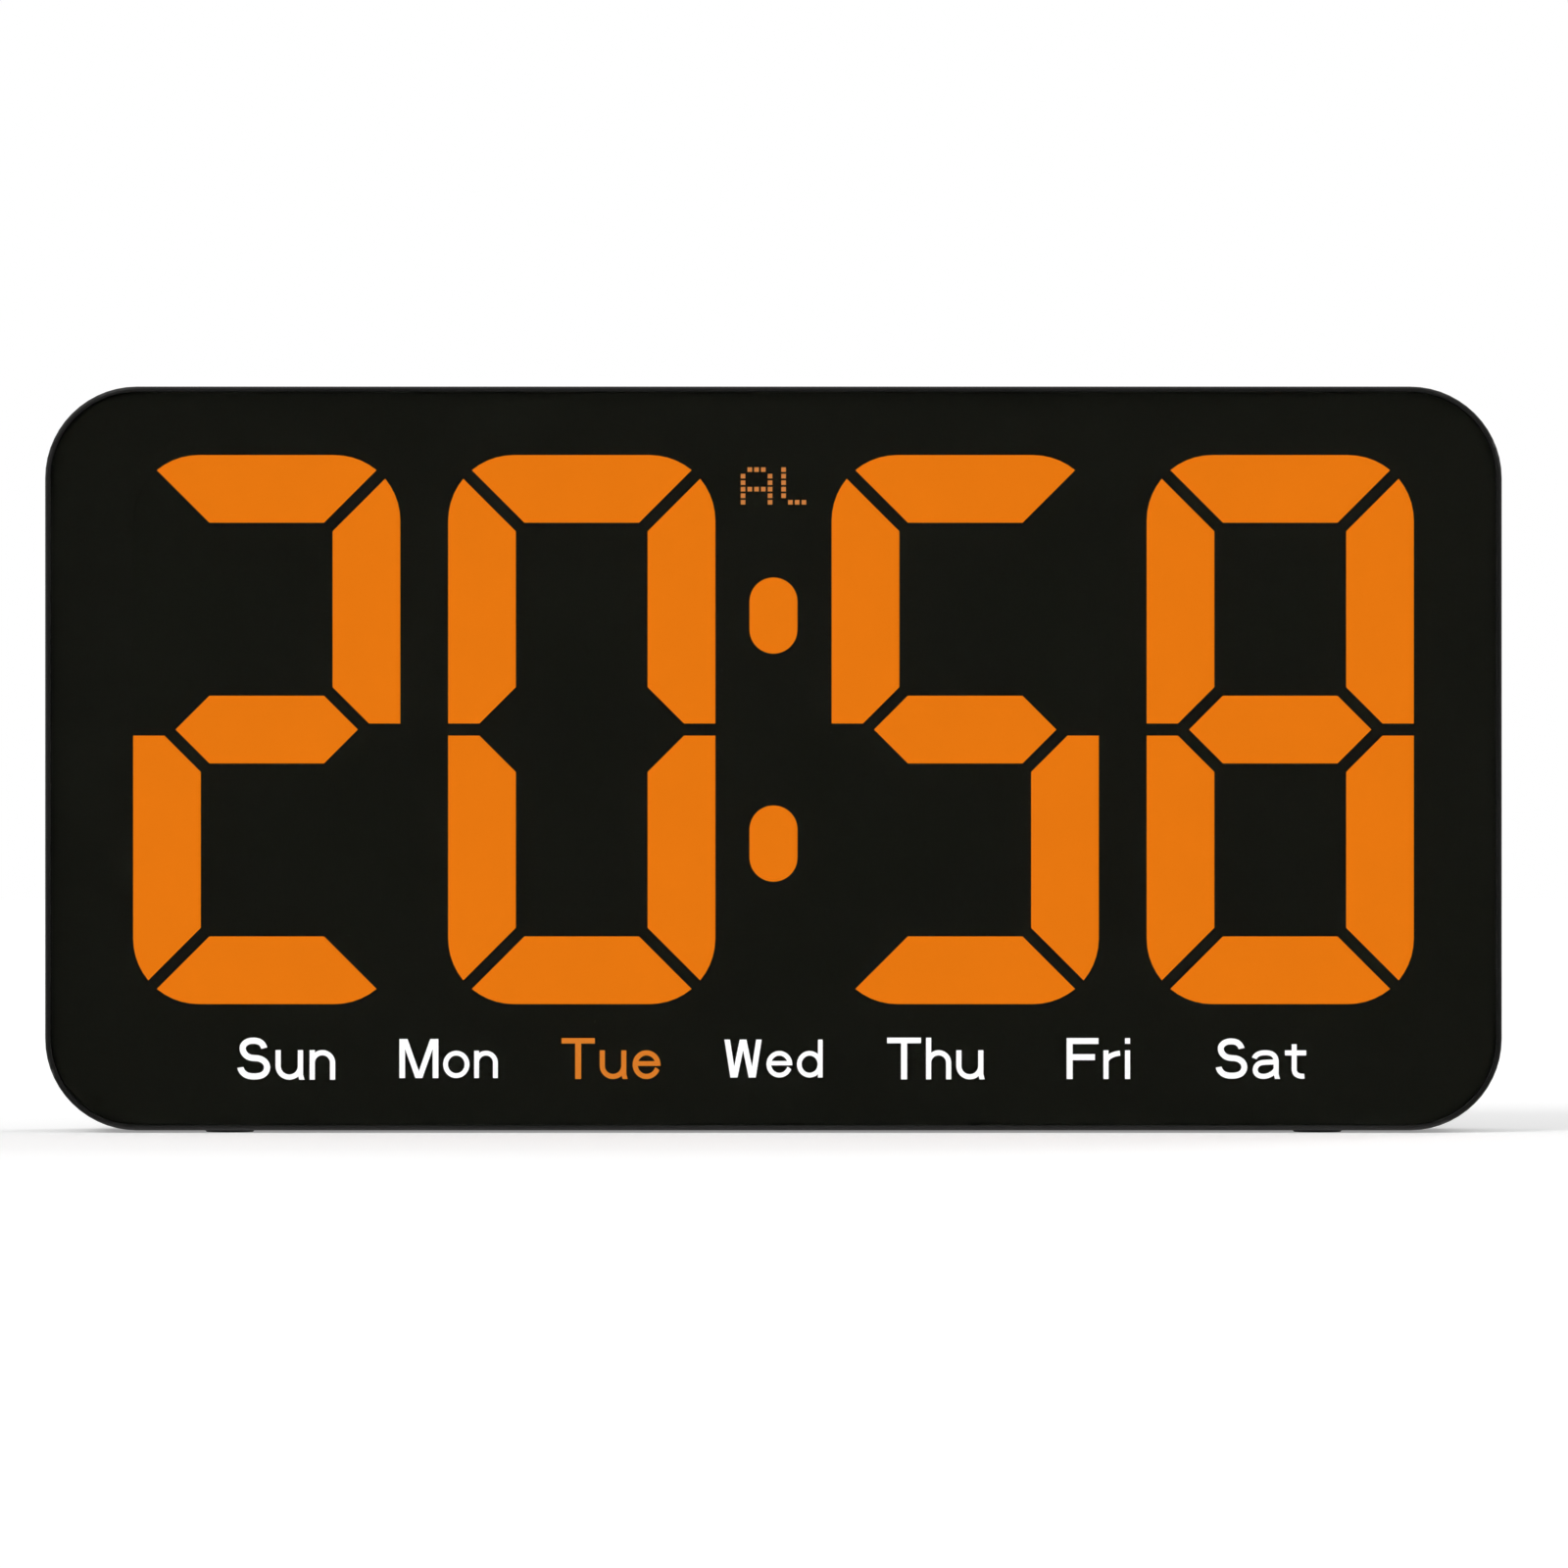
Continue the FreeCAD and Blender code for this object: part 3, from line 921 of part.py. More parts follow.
# each plate: end of the bay, first cell, last cell, whether a tail passes through the wall
CONTACTS = ((0, 0, 0, True), (0, 1, 2, False), (1, 0, 1, False), (1, 2, 2, True))


def contact_plate(k, grow):
    end, first, last, tail = CONTACTS[k]
    x0, x1 = (BAY_X0, BAY_X0 + CONTACT_T) if end == 0 else (BAY_X1 - CONTACT_T, BAY_X1)
    half = CONTACT_W / 2
    plate = box(x0, x1, CELL_Y - half - grow, CELL_Y + half + grow,
                cell_z(first) - half - grow, cell_z(last) + half + grow)
    if not tail:
        return plate
    out = BAY_WALL + TAIL_L
    t0, t1 = (x0 - out, x1) if end == 0 else (x0, x1 + out)
    strip = box(t0 - grow, t1 + grow, CELL_Y - CONTACT_T / 2 - grow, CELL_Y + CONTACT_T / 2 + grow,
                cell_z(first) - TAIL_W / 2 - grow, cell_z(first) + TAIL_W / 2 + grow)
    return join([plate, strip])


def battery_contacts():
    return [contact_plate(k, 0) for k in range(len(CONTACTS))]


def wire(points):
    """An insulated wire through the points, round at its bends, with the balls' poles off the straight runs."""
    pieces = []
    for a, b in zip(points, points[1:]):
        pieces.append(Part.makeCylinder(LEAD_WIRE_R, (b - a).Length, a, b - a))
    pieces += [Part.makeSphere(LEAD_WIRE_R, p, V(1, 1, 1)) for p in points[1:-1]]
    return join(pieces)


def battery_leads():
    y = CELL_Y - CONTACT_T / 2 - LEAD_WIRE_R
    near_x = BAY_X1 + BAY_WALL + TAIL_L - LEAD_WIRE_R
    far_x = BAY_X0 - BAY_WALL - TAIL_L + LEAD_WIRE_R
    board_y = CONTROL_Y0
    low = BAY_Z0 - BAY_WALL - 3.0
    x_in = CONTROL_X0 + 3.0
    z_in = FOOT_Z + CONTROL_Z0 + 3.0
    mid_y = board_y - 2.4
    plus = [V(near_x, y, cell_z(CELLS - 1)), V(near_x, mid_y, z_in + 3.0), V(x_in, mid_y, z_in + 3.0),
            V(x_in, board_y, z_in + 3.0)]
    minus = [V(far_x, y, cell_z(0)), V(far_x, mid_y, low), V(near_x + 3.0, mid_y, low),
             V(near_x + 3.0, mid_y, z_in), V(x_in, mid_y, z_in), V(x_in, board_y, z_in)]
    return [wire(plus), wire(minus)]


def battery_door():
    x_mid, width = (DOOR_X0 + DOOR_X1) / 2, DOOR_X1 - DOOR_X0
    leaf = slab(width, 2 * (DOOR_PIN_Z - DOOR_Z0), DOOR_R, BACK_Y - DOOR_T, BACK_Y, x_mid, DOOR_PIN_Z)
    leaf = leaf.common(box(DOOR_X0, DOOR_X1, BACK_Y - DOOR_T, BACK_Y, DOOR_Z0, DOOR_PIN_Z))
    knuckle = rod_x(DOOR_PIN_Y, DOOR_PIN_Z, DOOR_T / 2, DOOR_X0, DOOR_X1)
    pins = rod_x(DOOR_PIN_Y, DOOR_PIN_Z, DOOR_PIN_R, DOOR_X0 - DOOR_PIN_L, DOOR_X1 + DOOR_PIN_L)
    detents = [box(x_mid + s * DETENT_X - DETENT_W / 2, x_mid + s * DETENT_X + DETENT_W / 2,
                   BACK_Y - DOOR_T * 0.7, BACK_Y - DOOR_T * 0.4, DOOR_Z0 - DETENT_H, DOOR_Z0 + 0.5)
               for s in (-1, 1)]
    door = join([leaf, knuckle, pins] + detents)
    grooves = [slab(GROOVE_L, GROOVE_W, GROOVE_W / 2, BACK_Y - GROOVE_DEEP, BACK_Y + 1, x_mid,
                    DOOR_Z0 + 3.0 + k * GROOVE_PITCH) for k in range(GROOVES)]
    return cut(door, grooves)


# ---------------------------------------------------------------- stand
def stand_leg():
    y0, y1 = HINGE_Y - STAND_T / 2, HINGE_Y + STAND_T / 2
    half, low = STAND_W / 2, HINGE_Z - STAND_L
    height = 2 * STAND_L
    leaf = slab(STAND_W, height, STAND_CORNER_R, y0, y1, 0.0, low + height / 2)
    leaf = leaf.common(box(-half, half, y0, y1, low, HINGE_Z + STAND_HEEL))
    knuckle = rod_x(HINGE_Y, HINGE_Z, KNUCKLE_R, -half, half)
    leg = join([leaf, knuckle])
    bore = rod_x(HINGE_Y, HINGE_Z, STAND_PIN_R + PIN_GAP, -half - 1, half + 1)
    pad_seat = box(-PAD_W / 2, PAD_W / 2, y0 - 1, y1 + 1, low - 1, low + PAD_T)
    grips = [slab(STAND_GRIP_L, STAND_GRIP_W, STAND_GRIP_W / 2, y1 - STAND_GRIP_DEEP, y1 + 1, 0.0,
                  low + STAND_GRIP_RISE + k * STAND_GRIP_PITCH) for k in range(STAND_GRIPS)]
    panel = slab(STAND_W - 2 * STAND_PANEL_SIDE, STAND_L - 2 * STAND_PANEL_END, STAND_CORNER_R - 2.0,
                 y0 - 1, y0 + STAND_PANEL_DEEP, 0.0, HINGE_Z - STAND_L / 2)
    return cut(leg, [bore, pad_seat, panel] + grips)


def stand_pin():
    a = STAND_W / 2 + STAND_SIDE_GAP + STAND_PIN_OUT
    return rod_x(HINGE_Y, HINGE_Z, STAND_PIN_R, -a, a)


def stand_pad():
    low = HINGE_Z - STAND_L
    pad = box(-PAD_W / 2, PAD_W / 2, HINGE_Y - STAND_T / 2, HINGE_Y + STAND_T / 2, low, low + PAD_T)
    return pad.makeFillet(0.5, edges_at(pad, lambda p: near(p.z, low)))


# ---------------------------------------------------------------- buttons and snooze bar
def button_mark(kind, x, z):
    """The sign sunk in a cap."""
    y0, y1 = BACK_Y - BUTTON_SET - MARK_T, BACK_Y + 1
    a = BUTTON_H * 0.28
    if kind == "up":
        return [polygon([(x - a, z - a * 0.7), (x + a, z - a * 0.7), (x, z + a * 0.9)], y0, y1)]
    if kind == "down":
        return [polygon([(x - a, z + a * 0.7), (x + a, z + a * 0.7), (x, z - a * 0.9)], y0, y1)]
    if kind == "set":
        return [cut(rod(x, z, a, y0, y1), [rod(x, z, a * 0.5, y0 - 1, y1 + 1)])]
    lines = [z + k * a * 0.75 for k in (-1, 0, 1)]
    return [box(x - a, x + a, y0, y1, line - a * 0.18, line + a * 0.18) for line in lines]


def button(k):
    x, z = button_x(k), FOOT_Z + BUTTON_Z
    cap = slab(BUTTON_W, BUTTON_H, 1.5, BUTTON_INNER_Y, BACK_Y - BUTTON_SET, x, z)
    cap = cap.makeFillet(0.4, edges_at(cap, lambda p: near(p.y, BACK_Y - BUTTON_SET)))
    flange = slab(BUTTON_W + 2 * BUTTON_FLANGE, BUTTON_H + 2 * BUTTON_FLANGE, 1.5, BUTTON_INNER_Y,
                  BUTTON_INNER_Y + BUTTON_FLANGE_T, x, z)
    return cut(join([cap, flange]), button_mark(BUTTON_NAMES[k], x, z))


def plunger(k):
    y0 = CONTROL_Y1 + SWITCH_BODY - PLUNGER_SINK
    return rod(button_x(k), FOOT_Z + BUTTON_Z, PLUNGER_R, y0, PLUNGER_Y)


def switch_housings():
    half, y1 = SWITCH_A / 2, CONTROL_Y1 + SWITCH_BODY
    housings = []
    for k in range(len(BUTTON_NAMES)):
        x, z = button_x(k), FOOT_Z + BUTTON_Z
        body = box(x - half, x + half, CONTROL_Y1, y1, z - half, z + half)
        housings.append(cut(body, [rod(x, z, PLUNGER_R + FIT_GAP, y1 - PLUNGER_SINK - 2 * PRESS, y1 + 1)]))
    return housings


def snooze_bar():
    top = TOP_Z - SNOOZE_SET
    flange_top = TOP_Z - WALL - FIT_GAP
    cap = slab_z(SNOOZE_W, SNOOZE_D, 2.0, flange_top - SNOOZE_FLANGE_T, top, 0.0, SNOOZE_Y)
    cap = cap.makeFillet(0.4, edges_at(cap, lambda p: near(p.z, top)))
    flange = slab_z(SNOOZE_W + 2 * SNOOZE_FLANGE, SNOOZE_D + 2 * SNOOZE_FLANGE, 2.0,
                    flange_top - SNOOZE_FLANGE_T, flange_top, 0.0, SNOOZE_Y)
    stem = rod_z(0.0, SNOOZE_PLUNGER_Y, SNOOZE_STEM_R, SNOOZE_PLUNGER_Z + TOUCH_GAP, flange_top - 0.2)
    grips = [box(-0.5 + (k - (SNOOZE_GRIPS - 1) / 2) * SNOOZE_GRIP_PITCH,
                 0.5 + (k - (SNOOZE_GRIPS - 1) / 2) * SNOOZE_GRIP_PITCH,
                 SNOOZE_Y - SNOOZE_D * 0.3, SNOOZE_Y + SNOOZE_D * 0.3, top - 0.35, top + 1)
             for k in range(SNOOZE_GRIPS)]
    return cut(join([cap, flange, stem]), grips)


def snooze_switch():
    half = SWITCH_A / 2
    body = box(-half, half, CONTROL_Y1, CONTROL_Y1 + SWITCH_BODY, SNOOZE_SWITCH_Z - SWITCH_A,
               SNOOZE_SWITCH_Z)
    return cut(body, [rod_z(0.0, SNOOZE_PLUNGER_Y, PLUNGER_R - 0.3 + FIT_GAP,
                            SNOOZE_SWITCH_Z - PLUNGER_SINK - 2 * SNOOZE_PRESS, SNOOZE_SWITCH_Z + 1)])


def snooze_plunger():
    return rod_z(0.0, SNOOZE_PLUNGER_Y, PLUNGER_R - 0.3, SNOOZE_SWITCH_Z - PLUNGER_SINK, SNOOZE_PLUNGER_Z)


# ---------------------------------------------------------------- control board
def control_board():
    board = box(CONTROL_X0, CONTROL_X1, CONTROL_Y0, CONTROL_Y1, FOOT_Z + CONTROL_Z0, FOOT_Z + CONTROL_Z1)
    return cut(board, [rod(x, FOOT_Z + z, BOARD_SCREW_R + 0.2, CONTROL_Y0 - 1, CONTROL_Y1 + 1)
                       for x, z in CONTROL_POSTS])


def microcontroller():
    body = box(MCU_X - MCU_A / 2, MCU_X + MCU_A / 2, CONTROL_Y0 - MCU_T, CONTROL_Y0 - CHIP_LIFT,
               MCU_Z - MCU_A / 2, MCU_Z + MCU_A / 2)
    body = cut(body, [rod(MCU_X - MCU_A * 0.36, MCU_Z + MCU_A * 0.36, 0.5, CONTROL_Y0 - MCU_T - 1,
                          CONTROL_Y0 - MCU_T + 0.1)])
    leads, half = [], MCU_LEAD_W / 2
    for k in range(MCU_LEADS):
        offset = (k - (MCU_LEADS - 1) / 2) * MCU_PITCH
        for s in (-1, 1):
            edge, toe = s * MCU_A / 2, s * (MCU_A / 2 + LEAD_L)
            u0, u1 = sorted((edge, toe))
            leads.append(box(MCU_X + u0, MCU_X + u1, CONTROL_Y0 - LEAD_T, CONTROL_Y0,
                             MCU_Z + offset - half, MCU_Z + offset + half))
            leads.append(box(MCU_X + offset - half, MCU_X + offset + half, CONTROL_Y0 - LEAD_T, CONTROL_Y0,
                             MCU_Z + u0, MCU_Z + u1))
    return [body] + leads


def clock_crystal():
    """A can lying on the board's front, with its two legs below it."""
    x, y, leg = MCU_X + CRYSTAL_OUT, CONTROL_Y0 - CRYSTAL_R, MCU_LEAD_W / 2
    can = rod_z(x, y, CRYSTAL_R, MCU_Z, MCU_Z + CRYSTAL_L)
    legs = [rod_z(x + s * CRYSTAL_R / 2, CONTROL_Y0 - leg, leg, MCU_Z - CRYSTAL_L / 2, MCU_Z)
            for s in (-1, 1)]
    return [can.makeFillet(0.3, edges_at(can, lambda p: near(p.z, MCU_Z + CRYSTAL_L)))] + legs


def buzzer():
    can = rod(BUZZER_X, FOOT_Z + BUZZER_Z, BUZZER_R, CONTROL_Y1, CONTROL_Y1 + BUZZER_H)
    can = can.makeFillet(0.4, edges_at(can, lambda p: near(p.y, CONTROL_Y1 + BUZZER_H)))
    return cut(can, [rod(BUZZER_X, FOOT_Z + BUZZER_Z, 1.0, CONTROL_Y1 + BUZZER_H - 1.5, BACK_Y)])


def usb_socket():
    x, z, mouth = USB_X, FOOT_Z + USB_Z, BACK_Y - USB_SET
    y_base = CONTROL_Y1 + USB_BASE_T
    shell = slab(USB_W, USB_H, USB_H / 2, CONTROL_Y1, mouth, x, z)
    hollow = slab(USB_W - 2 * USB_SHELL, USB_H - 2 * USB_SHELL, USB_H / 2 - USB_SHELL, y_base, BACK_Y, x, z)
    tongue_piece = box(x - USB_TONGUE_W / 2, x + USB_TONGUE_W / 2, y_base, mouth - 0.6,
                       z - USB_TONGUE_T / 2, z + USB_TONGUE_T / 2)
    return [cut(shell, [hollow]), tongue_piece]


def capacitors():
    found = []
    for x, z in CAP_SPOTS:
        can = rod(x, FOOT_Z + z, CAP_R, CONTROL_Y1, CONTROL_Y1 + CAP_H)
        can = can.makeFillet(0.5, edges_at(can, lambda p: near(p.y, CONTROL_Y1 + CAP_H)))
        cross = [box(x - CAP_R * 0.7, x + CAP_R * 0.7, CONTROL_Y1 + CAP_H - 0.15, BACK_Y, FOOT_Z + z - 0.1,
                     FOOT_Z + z + 0.1),
                 box(x - 0.1, x + 0.1, CONTROL_Y1 + CAP_H - 0.15, BACK_Y, FOOT_Z + z - CAP_R * 0.7,
                     FOOT_Z + z + CAP_R * 0.7)]
        found.append(cut(can, cross))
    return found


def resistors():
    """Chip resistors in rows above the controller, each with a metal cap at both ends."""
    found = []
    half_w, half_l = RESISTOR_W / 2, RESISTOR_L / 2
    for k in range(RESISTORS):
        x = MCU_X + (k % RESISTOR_COLUMNS - (RESISTOR_COLUMNS - 1) / 2) * RESISTOR_PITCH
        z = MCU_Z + RESISTOR_RISE + (k // RESISTOR_COLUMNS) * RESISTOR_PITCH
        inner = half_l - RESISTOR_END
        found.append(box(x - inner, x + inner, CONTROL_Y0 - RESISTOR_T, CONTROL_Y0, z - half_w, z + half_w))
        for s in (-1, 1):
            x0, x1 = sorted((x + s * inner, x + s * half_l))
            found.append(box(x0, x1, CONTROL_Y0 - RESISTOR_T - 0.05, CONTROL_Y0, z - half_w, z + half_w))
    return found


# ---------------------------------------------------------------- output
def main():
    os.makedirs("parts", exist_ok=True)
    names = [day_name(k) for k in range(len(DAY_CAPS))]
    save("front_bezel", front_bezel())
    save("front_lens", front_lens())
    save("mask_film", mask_film(names))
    save("lens_tape", lens_tape())
    for k, (word, _) in enumerate(DAY_CAPS):
        save("legend_" + word, names[k])
    save("reflector_frame", reflector_frame())
    for k in range(len(DIGIT_X)):
        save("digit_%d_segments" % (k + 1), digit_tiles(k, True))
    save("dark_segments", [tile for k in range(len(DIGIT_X)) for tile in digit_tiles(k, False)])
    save("colon_tiles", colon(DIFFUSER_LAP, FILM_Y1, FILM_Y1 + DIFFUSER_T))
    save("alarm_tile", alarm_plate(0, FILM_Y1, FILM_Y1 + DIFFUSER_T))
    save("day_tiles", day_cells(0, FILM_Y1, FILM_Y1 + DIFFUSER_T))
    save("display_board", display_board())
    save("segment_leds", segment_leds())
    save("display_board_screws", display_board_screws())
    save("driver_chips", driver_chips())
    save("board_connector", board_connector())
    save("control_board", control_board())
    save("control_board_screws", control_board_screws())
    save("microcontroller", microcontroller())
    save("clock_crystal", clock_crystal())
    save("resistors", resistors())
    save("capacitors", capacitors())
    save("buzzer", buzzer())
    save("usb_socket", usb_socket())
    save("switch_housings", switch_housings())
    save("snooze_switch", snooze_switch())
    save("snooze_plunger", snooze_plunger())
    save("snooze_bar", snooze_bar())
    for k, name in enumerate(BUTTON_NAMES):
        save("button_" + name, button(k))
        save("plunger_" + name, plunger(k))
    save("rear_cover", rear_cover())
    save("case_screws", case_screws())
    save("rubber_feet", rubber_feet())
    save("aaa_cells", aaa_cells())
    save("battery_springs", battery_springs())
    save("battery_contacts", battery_contacts())
    save("battery_leads", battery_leads())
    save("battery_door", battery_door())
    save("stand_leg", stand_leg())
    save("stand_pin", stand_pin())
    save("stand_pad", stand_pad())


main()
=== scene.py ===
import math

import bmesh
import bpy
from mathutils import Matrix, Vector


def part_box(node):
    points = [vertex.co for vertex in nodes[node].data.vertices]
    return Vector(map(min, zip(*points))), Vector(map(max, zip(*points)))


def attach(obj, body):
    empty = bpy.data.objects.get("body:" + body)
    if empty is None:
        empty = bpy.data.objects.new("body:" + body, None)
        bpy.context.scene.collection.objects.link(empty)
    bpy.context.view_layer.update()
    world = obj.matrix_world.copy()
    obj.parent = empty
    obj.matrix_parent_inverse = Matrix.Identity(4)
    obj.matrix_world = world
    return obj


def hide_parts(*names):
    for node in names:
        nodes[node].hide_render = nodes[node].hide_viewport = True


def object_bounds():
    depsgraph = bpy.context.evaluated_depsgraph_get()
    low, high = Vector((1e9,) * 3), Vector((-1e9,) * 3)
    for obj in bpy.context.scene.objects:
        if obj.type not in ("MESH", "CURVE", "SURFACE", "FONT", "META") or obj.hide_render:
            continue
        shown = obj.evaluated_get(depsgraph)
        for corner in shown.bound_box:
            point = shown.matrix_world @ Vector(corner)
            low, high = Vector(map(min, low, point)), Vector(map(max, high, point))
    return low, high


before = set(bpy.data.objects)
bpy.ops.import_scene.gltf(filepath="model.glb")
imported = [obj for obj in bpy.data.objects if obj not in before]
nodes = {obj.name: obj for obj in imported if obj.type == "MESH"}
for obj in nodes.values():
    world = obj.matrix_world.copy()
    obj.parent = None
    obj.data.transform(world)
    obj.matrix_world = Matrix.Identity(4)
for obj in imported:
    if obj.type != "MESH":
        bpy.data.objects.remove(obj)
cad_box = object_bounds()
MM = 0.001
BACK_Y = cad_box[1].y                 # the case's flat back
WHITE = (1.0, 1.0, 1.0, 1.0)
NOISE_LOW, NOISE_HIGH = 0.3, 0.7      # nearly all of a noise lies between these


# ------------------------------------------------------------------ node trees
class Nodes:
    """A node tree, with a short call that adds to it."""

    def __init__(self, tree):
        self.tree = tree

    def add(self, kind, inputs=(), **settings):
        """Adds a node, writes or links each of its inputs, and returns its outputs."""
        n = self.tree.nodes.new("ShaderNode" + kind)
        for key, value in settings.items():
            setattr(n, key, value)
        for key, value in dict(inputs).items():
            if isinstance(value, bpy.types.NodeSocket):
                self.tree.links.new(value, n.inputs[key])
            else:
                n.inputs[key].default_value = value
        return n.outputs

    def seen(self):
        """1 for what is seen straight, mirrored or through glass, and 0 for light that falls."""
        path = self.add("LightPath")
        direct = self.add("Math", {0: path["Is Camera Ray"], 1: path["Is Glossy Ray"]},
                          operation="MAXIMUM")[0]
        return self.add("Math", {0: direct, 1: path["Is Transmission Ray"]},
                        operation="MAXIMUM")[0]


class Shader(Nodes):
    """A material under construction: a Principled shader and short calls for what feeds it."""

    def __init__(self, name, **sockets):
        self.mat = bpy.data.materials.new(name)
        self.mat.use_nodes = True
        super().__init__(self.mat.node_tree)
        self.bsdf = next(n for n in self.tree.nodes if n.type == "BSDF_PRINCIPLED")
        for key, value in sockets.items():
            self.bsdf.inputs[key.replace("_", " ")].default_value = value
        self.coords = self.add("TexCoord")["Object"]

    def noise(self, scale, detail, stretch=None):
        source = self.coords
        if stretch:
            source = self.add("Mapping", {"Scale": stretch, "Vector": source})["Vector"]
        return self.add("TexNoise", {"Scale": scale, "Detail": detail, "Vector": source})["Fac"]

    def ramp(self, noise, low, high):
        """A colour that goes from low to high with the noise."""
        n = self.tree.nodes.new("ShaderNodeValToRGB")
        stops = zip(n.color_ramp.elements, (NOISE_LOW, NOISE_HIGH), (low, high))
        for element, at, colour in stops:
            element.position = at
            element.color = colour
        self.tree.links.new(noise, n.inputs["Fac"])
        return n.outputs["Color"]

    def span(self, value, low, high, start=NOISE_LOW, end=NOISE_HIGH):
        """A number that goes from low to high while the value goes from start to end."""
        return self.add("MapRange", {"Value": value, "From Min": start, "From Max": end,
                                     "To Min": low, "To Max": high})["Result"]

    def mix(self, factor, a, b):
        """Colour a at factor 0 and b at 1. The node's colour sockets come after its other ones."""
        return self.add("Mix", {0: factor, 6: a, 7: b}, data_type="RGBA")[2]

    def bump(self, height, distance, strength):
        self.set("Normal", self.add("Bump", {"Distance": distance, "Strength": strength,
                                             "Height": height})["Normal"])

    def set(self, key, output):
        self.tree.links.new(output, self.bsdf.inputs[key])


# ------------------------------------------------------------------ materials
def linear(r, g, b):
    """Display colour, 0 to 255, as scene-linear RGBA."""
    def one(v):
        v /= 255.0
        return v / 12.92 if v <= 0.04045 else ((v + 0.055) / 1.055) ** 2.4
    return (one(r), one(g), one(b), 1.0)


def shade(rgba, by):
    return tuple(min(1.0, c * by) for c in rgba[:3]) + (1.0,)


def moulded(name, rgb, rough=(0.42, 0.58), grain=2600, depth=0.06 * MM, spread=0.12,
            specular=0.5):
    """Spark-eroded moulded plastic: a fine even grain, slight cloudiness and uneven sheen."""
    s = Shader(name, Specular_IOR_Level=specular)
    base = linear(*rgb)
    cloud = s.noise(scale=35, detail=4)
    s.set("Base Color", s.ramp(cloud, shade(base, 1 - spread), shade(base, 1 + spread)))
    s.set("Roughness", s.span(s.noise(scale=18, detail=3), *rough))
    s.bump(s.noise(grain, detail=2), depth, strength=0.6)
    return s.mat


def metal(name, rgb, rough=(0.22, 0.36)):
    """Drawn or plated metal with faint tool lines."""
    s = Shader(name, Metallic=1.0)
    base = linear(*rgb)
    lines = s.noise(scale=1.0, detail=3, stretch=(40, 900, 900))
    s.set("Base Color", s.ramp(lines, shade(base, 0.86), shade(base, 1.06)))
    s.set("Roughness", s.span(lines, *rough))
    s.bump(lines, 0.02 * MM, strength=0.3)
    return s.mat


def lit_or_painted_glow(name, rgb, strength):
    """A translucent piece lit from behind: an even glow, faintly cloudy where room light is. It
    also gives white print a painted glow, so that it shows bright white.
    """
    base = linear(*rgb)
    s = Shader(name, Specular_IOR_Level=0.0, Emission_Color=base, Emission_Strength=strength)
    s.set("Base Color", s.ramp(s.noise(scale=90, detail=2), shade(base, 0.03), shade(base, 0.07)))
    s.set("Roughness", s.span(s.noise(scale=60, detail=2), 0.45, 0.6))
    s.bump(s.noise(scale=3000, detail=2), 0.01 * MM, strength=0.5)
    return s.mat


def clear_acrylic():
    """Polished clear acrylic with a trace of haze."""
    s = Shader("clear_acrylic", IOR=1.45, Transmission_Weight=1.0, Base_Color=WHITE)
    s.set("Roughness", s.span(s.noise(scale=60, detail=2), 0.0, 0.015))
    return s.mat


def circuit_board():
    """Green solder mask over tracks routed level and upright, with plated holes."""
    s = Shader("circuit_board", Roughness=0.35)
    mask, covered_track, tin = linear(11, 62, 38), linear(24, 92, 54), linear(150, 146, 120)
    quarter = math.radians(90)
    level = s.add("Mapping", {"Rotation": (quarter, 0, 0), "Vector": s.coords})["Vector"]
    upright = s.add("Mapping", {"Rotation": (0, 0, quarter), "Vector": level})["Vector"]

    def tracks(source, length, pitch, shift):
        sizes = {"Scale": 100, "Mortar Size": 0.016, "Mortar Smooth": 0.1, "Bias": 0.0,
                 "Brick Width": length, "Row Height": pitch}
        return s.add("TexBrick", {"Vector": source, **sizes}, offset=shift, squash=1.0)["Fac"]

    turned = s.span(s.noise(scale=28, detail=1), 0.0, 1.0, start=0.49, end=0.5)
    ways = s.mix(turned, tracks(level, length=2.6, pitch=0.17, shift=0.31),
                 tracks(upright, length=1.9, pitch=0.21, shift=0.43))
    used = s.span(s.noise(scale=45, detail=1), 0.0, 1.0, start=0.44, end=0.45)
    routed = s.mix(used, linear(0, 0, 0), ways)
    from_hole = s.add("TexVoronoi", {"Scale": 130, "Vector": s.coords})["Distance"]
    plated = s.span(from_hole, 1.0, 0.0, start=0.09, end=0.10)
    s.set("Base Color", s.mix(plated, s.mix(routed, mask, covered_track), tin))
    s.bump(routed, 0.04 * MM, strength=0.4)
    return s.mat


ORANGE = (231, 119, 17)
LEGEND_ORANGE = (217, 125, 42)
ALARM_ORANGE = (206, 130, 66)
FACE = (30, 31, 26)
GLOW, PAINTED_PRINT_GLOW = 1.04, 1.07         # strength of the light behind the orange pieces, and of the painted glow on the white printed words
case_plastic = moulded("case_plastic", (18, 17, 15), specular=0.45)
rear_plastic = moulded("rear_plastic", (19, 18, 16), rough=(0.5, 0.64), grain=1700,
                       depth=0.11 * MM, specular=0.45)
button_plastic = moulded("button_plastic", (34, 33, 31), rough=(0.35, 0.5), grain=3600,
                         depth=0.04 * MM)
film = moulded("mask_film", FACE, rough=(0.55, 0.65), grain=5000, depth=0.01 * MM,
               spread=0.02, specular=0.0)
dark_tile = moulded("dark_tile", FACE, rough=(0.5, 0.6), grain=3000, depth=0.01 * MM,
                    spread=0.03, specular=0.0)
tape = moulded("foam_tape", (20, 20, 20), rough=(0.8, 0.9), grain=1800, depth=0.1 * MM)
rubber = moulded("rubber", (26, 26, 25), rough=(0.75, 0.9), grain=1500, depth=0.12 * MM,
                 spread=0.2, specular=0.3)
white_plastic = moulded("white_plastic", (214, 214, 208), rough=(0.4, 0.55), spread=0.04)
diffuser = moulded("milky_diffuser", (205, 204, 198), rough=(0.5, 0.6), spread=0.03)
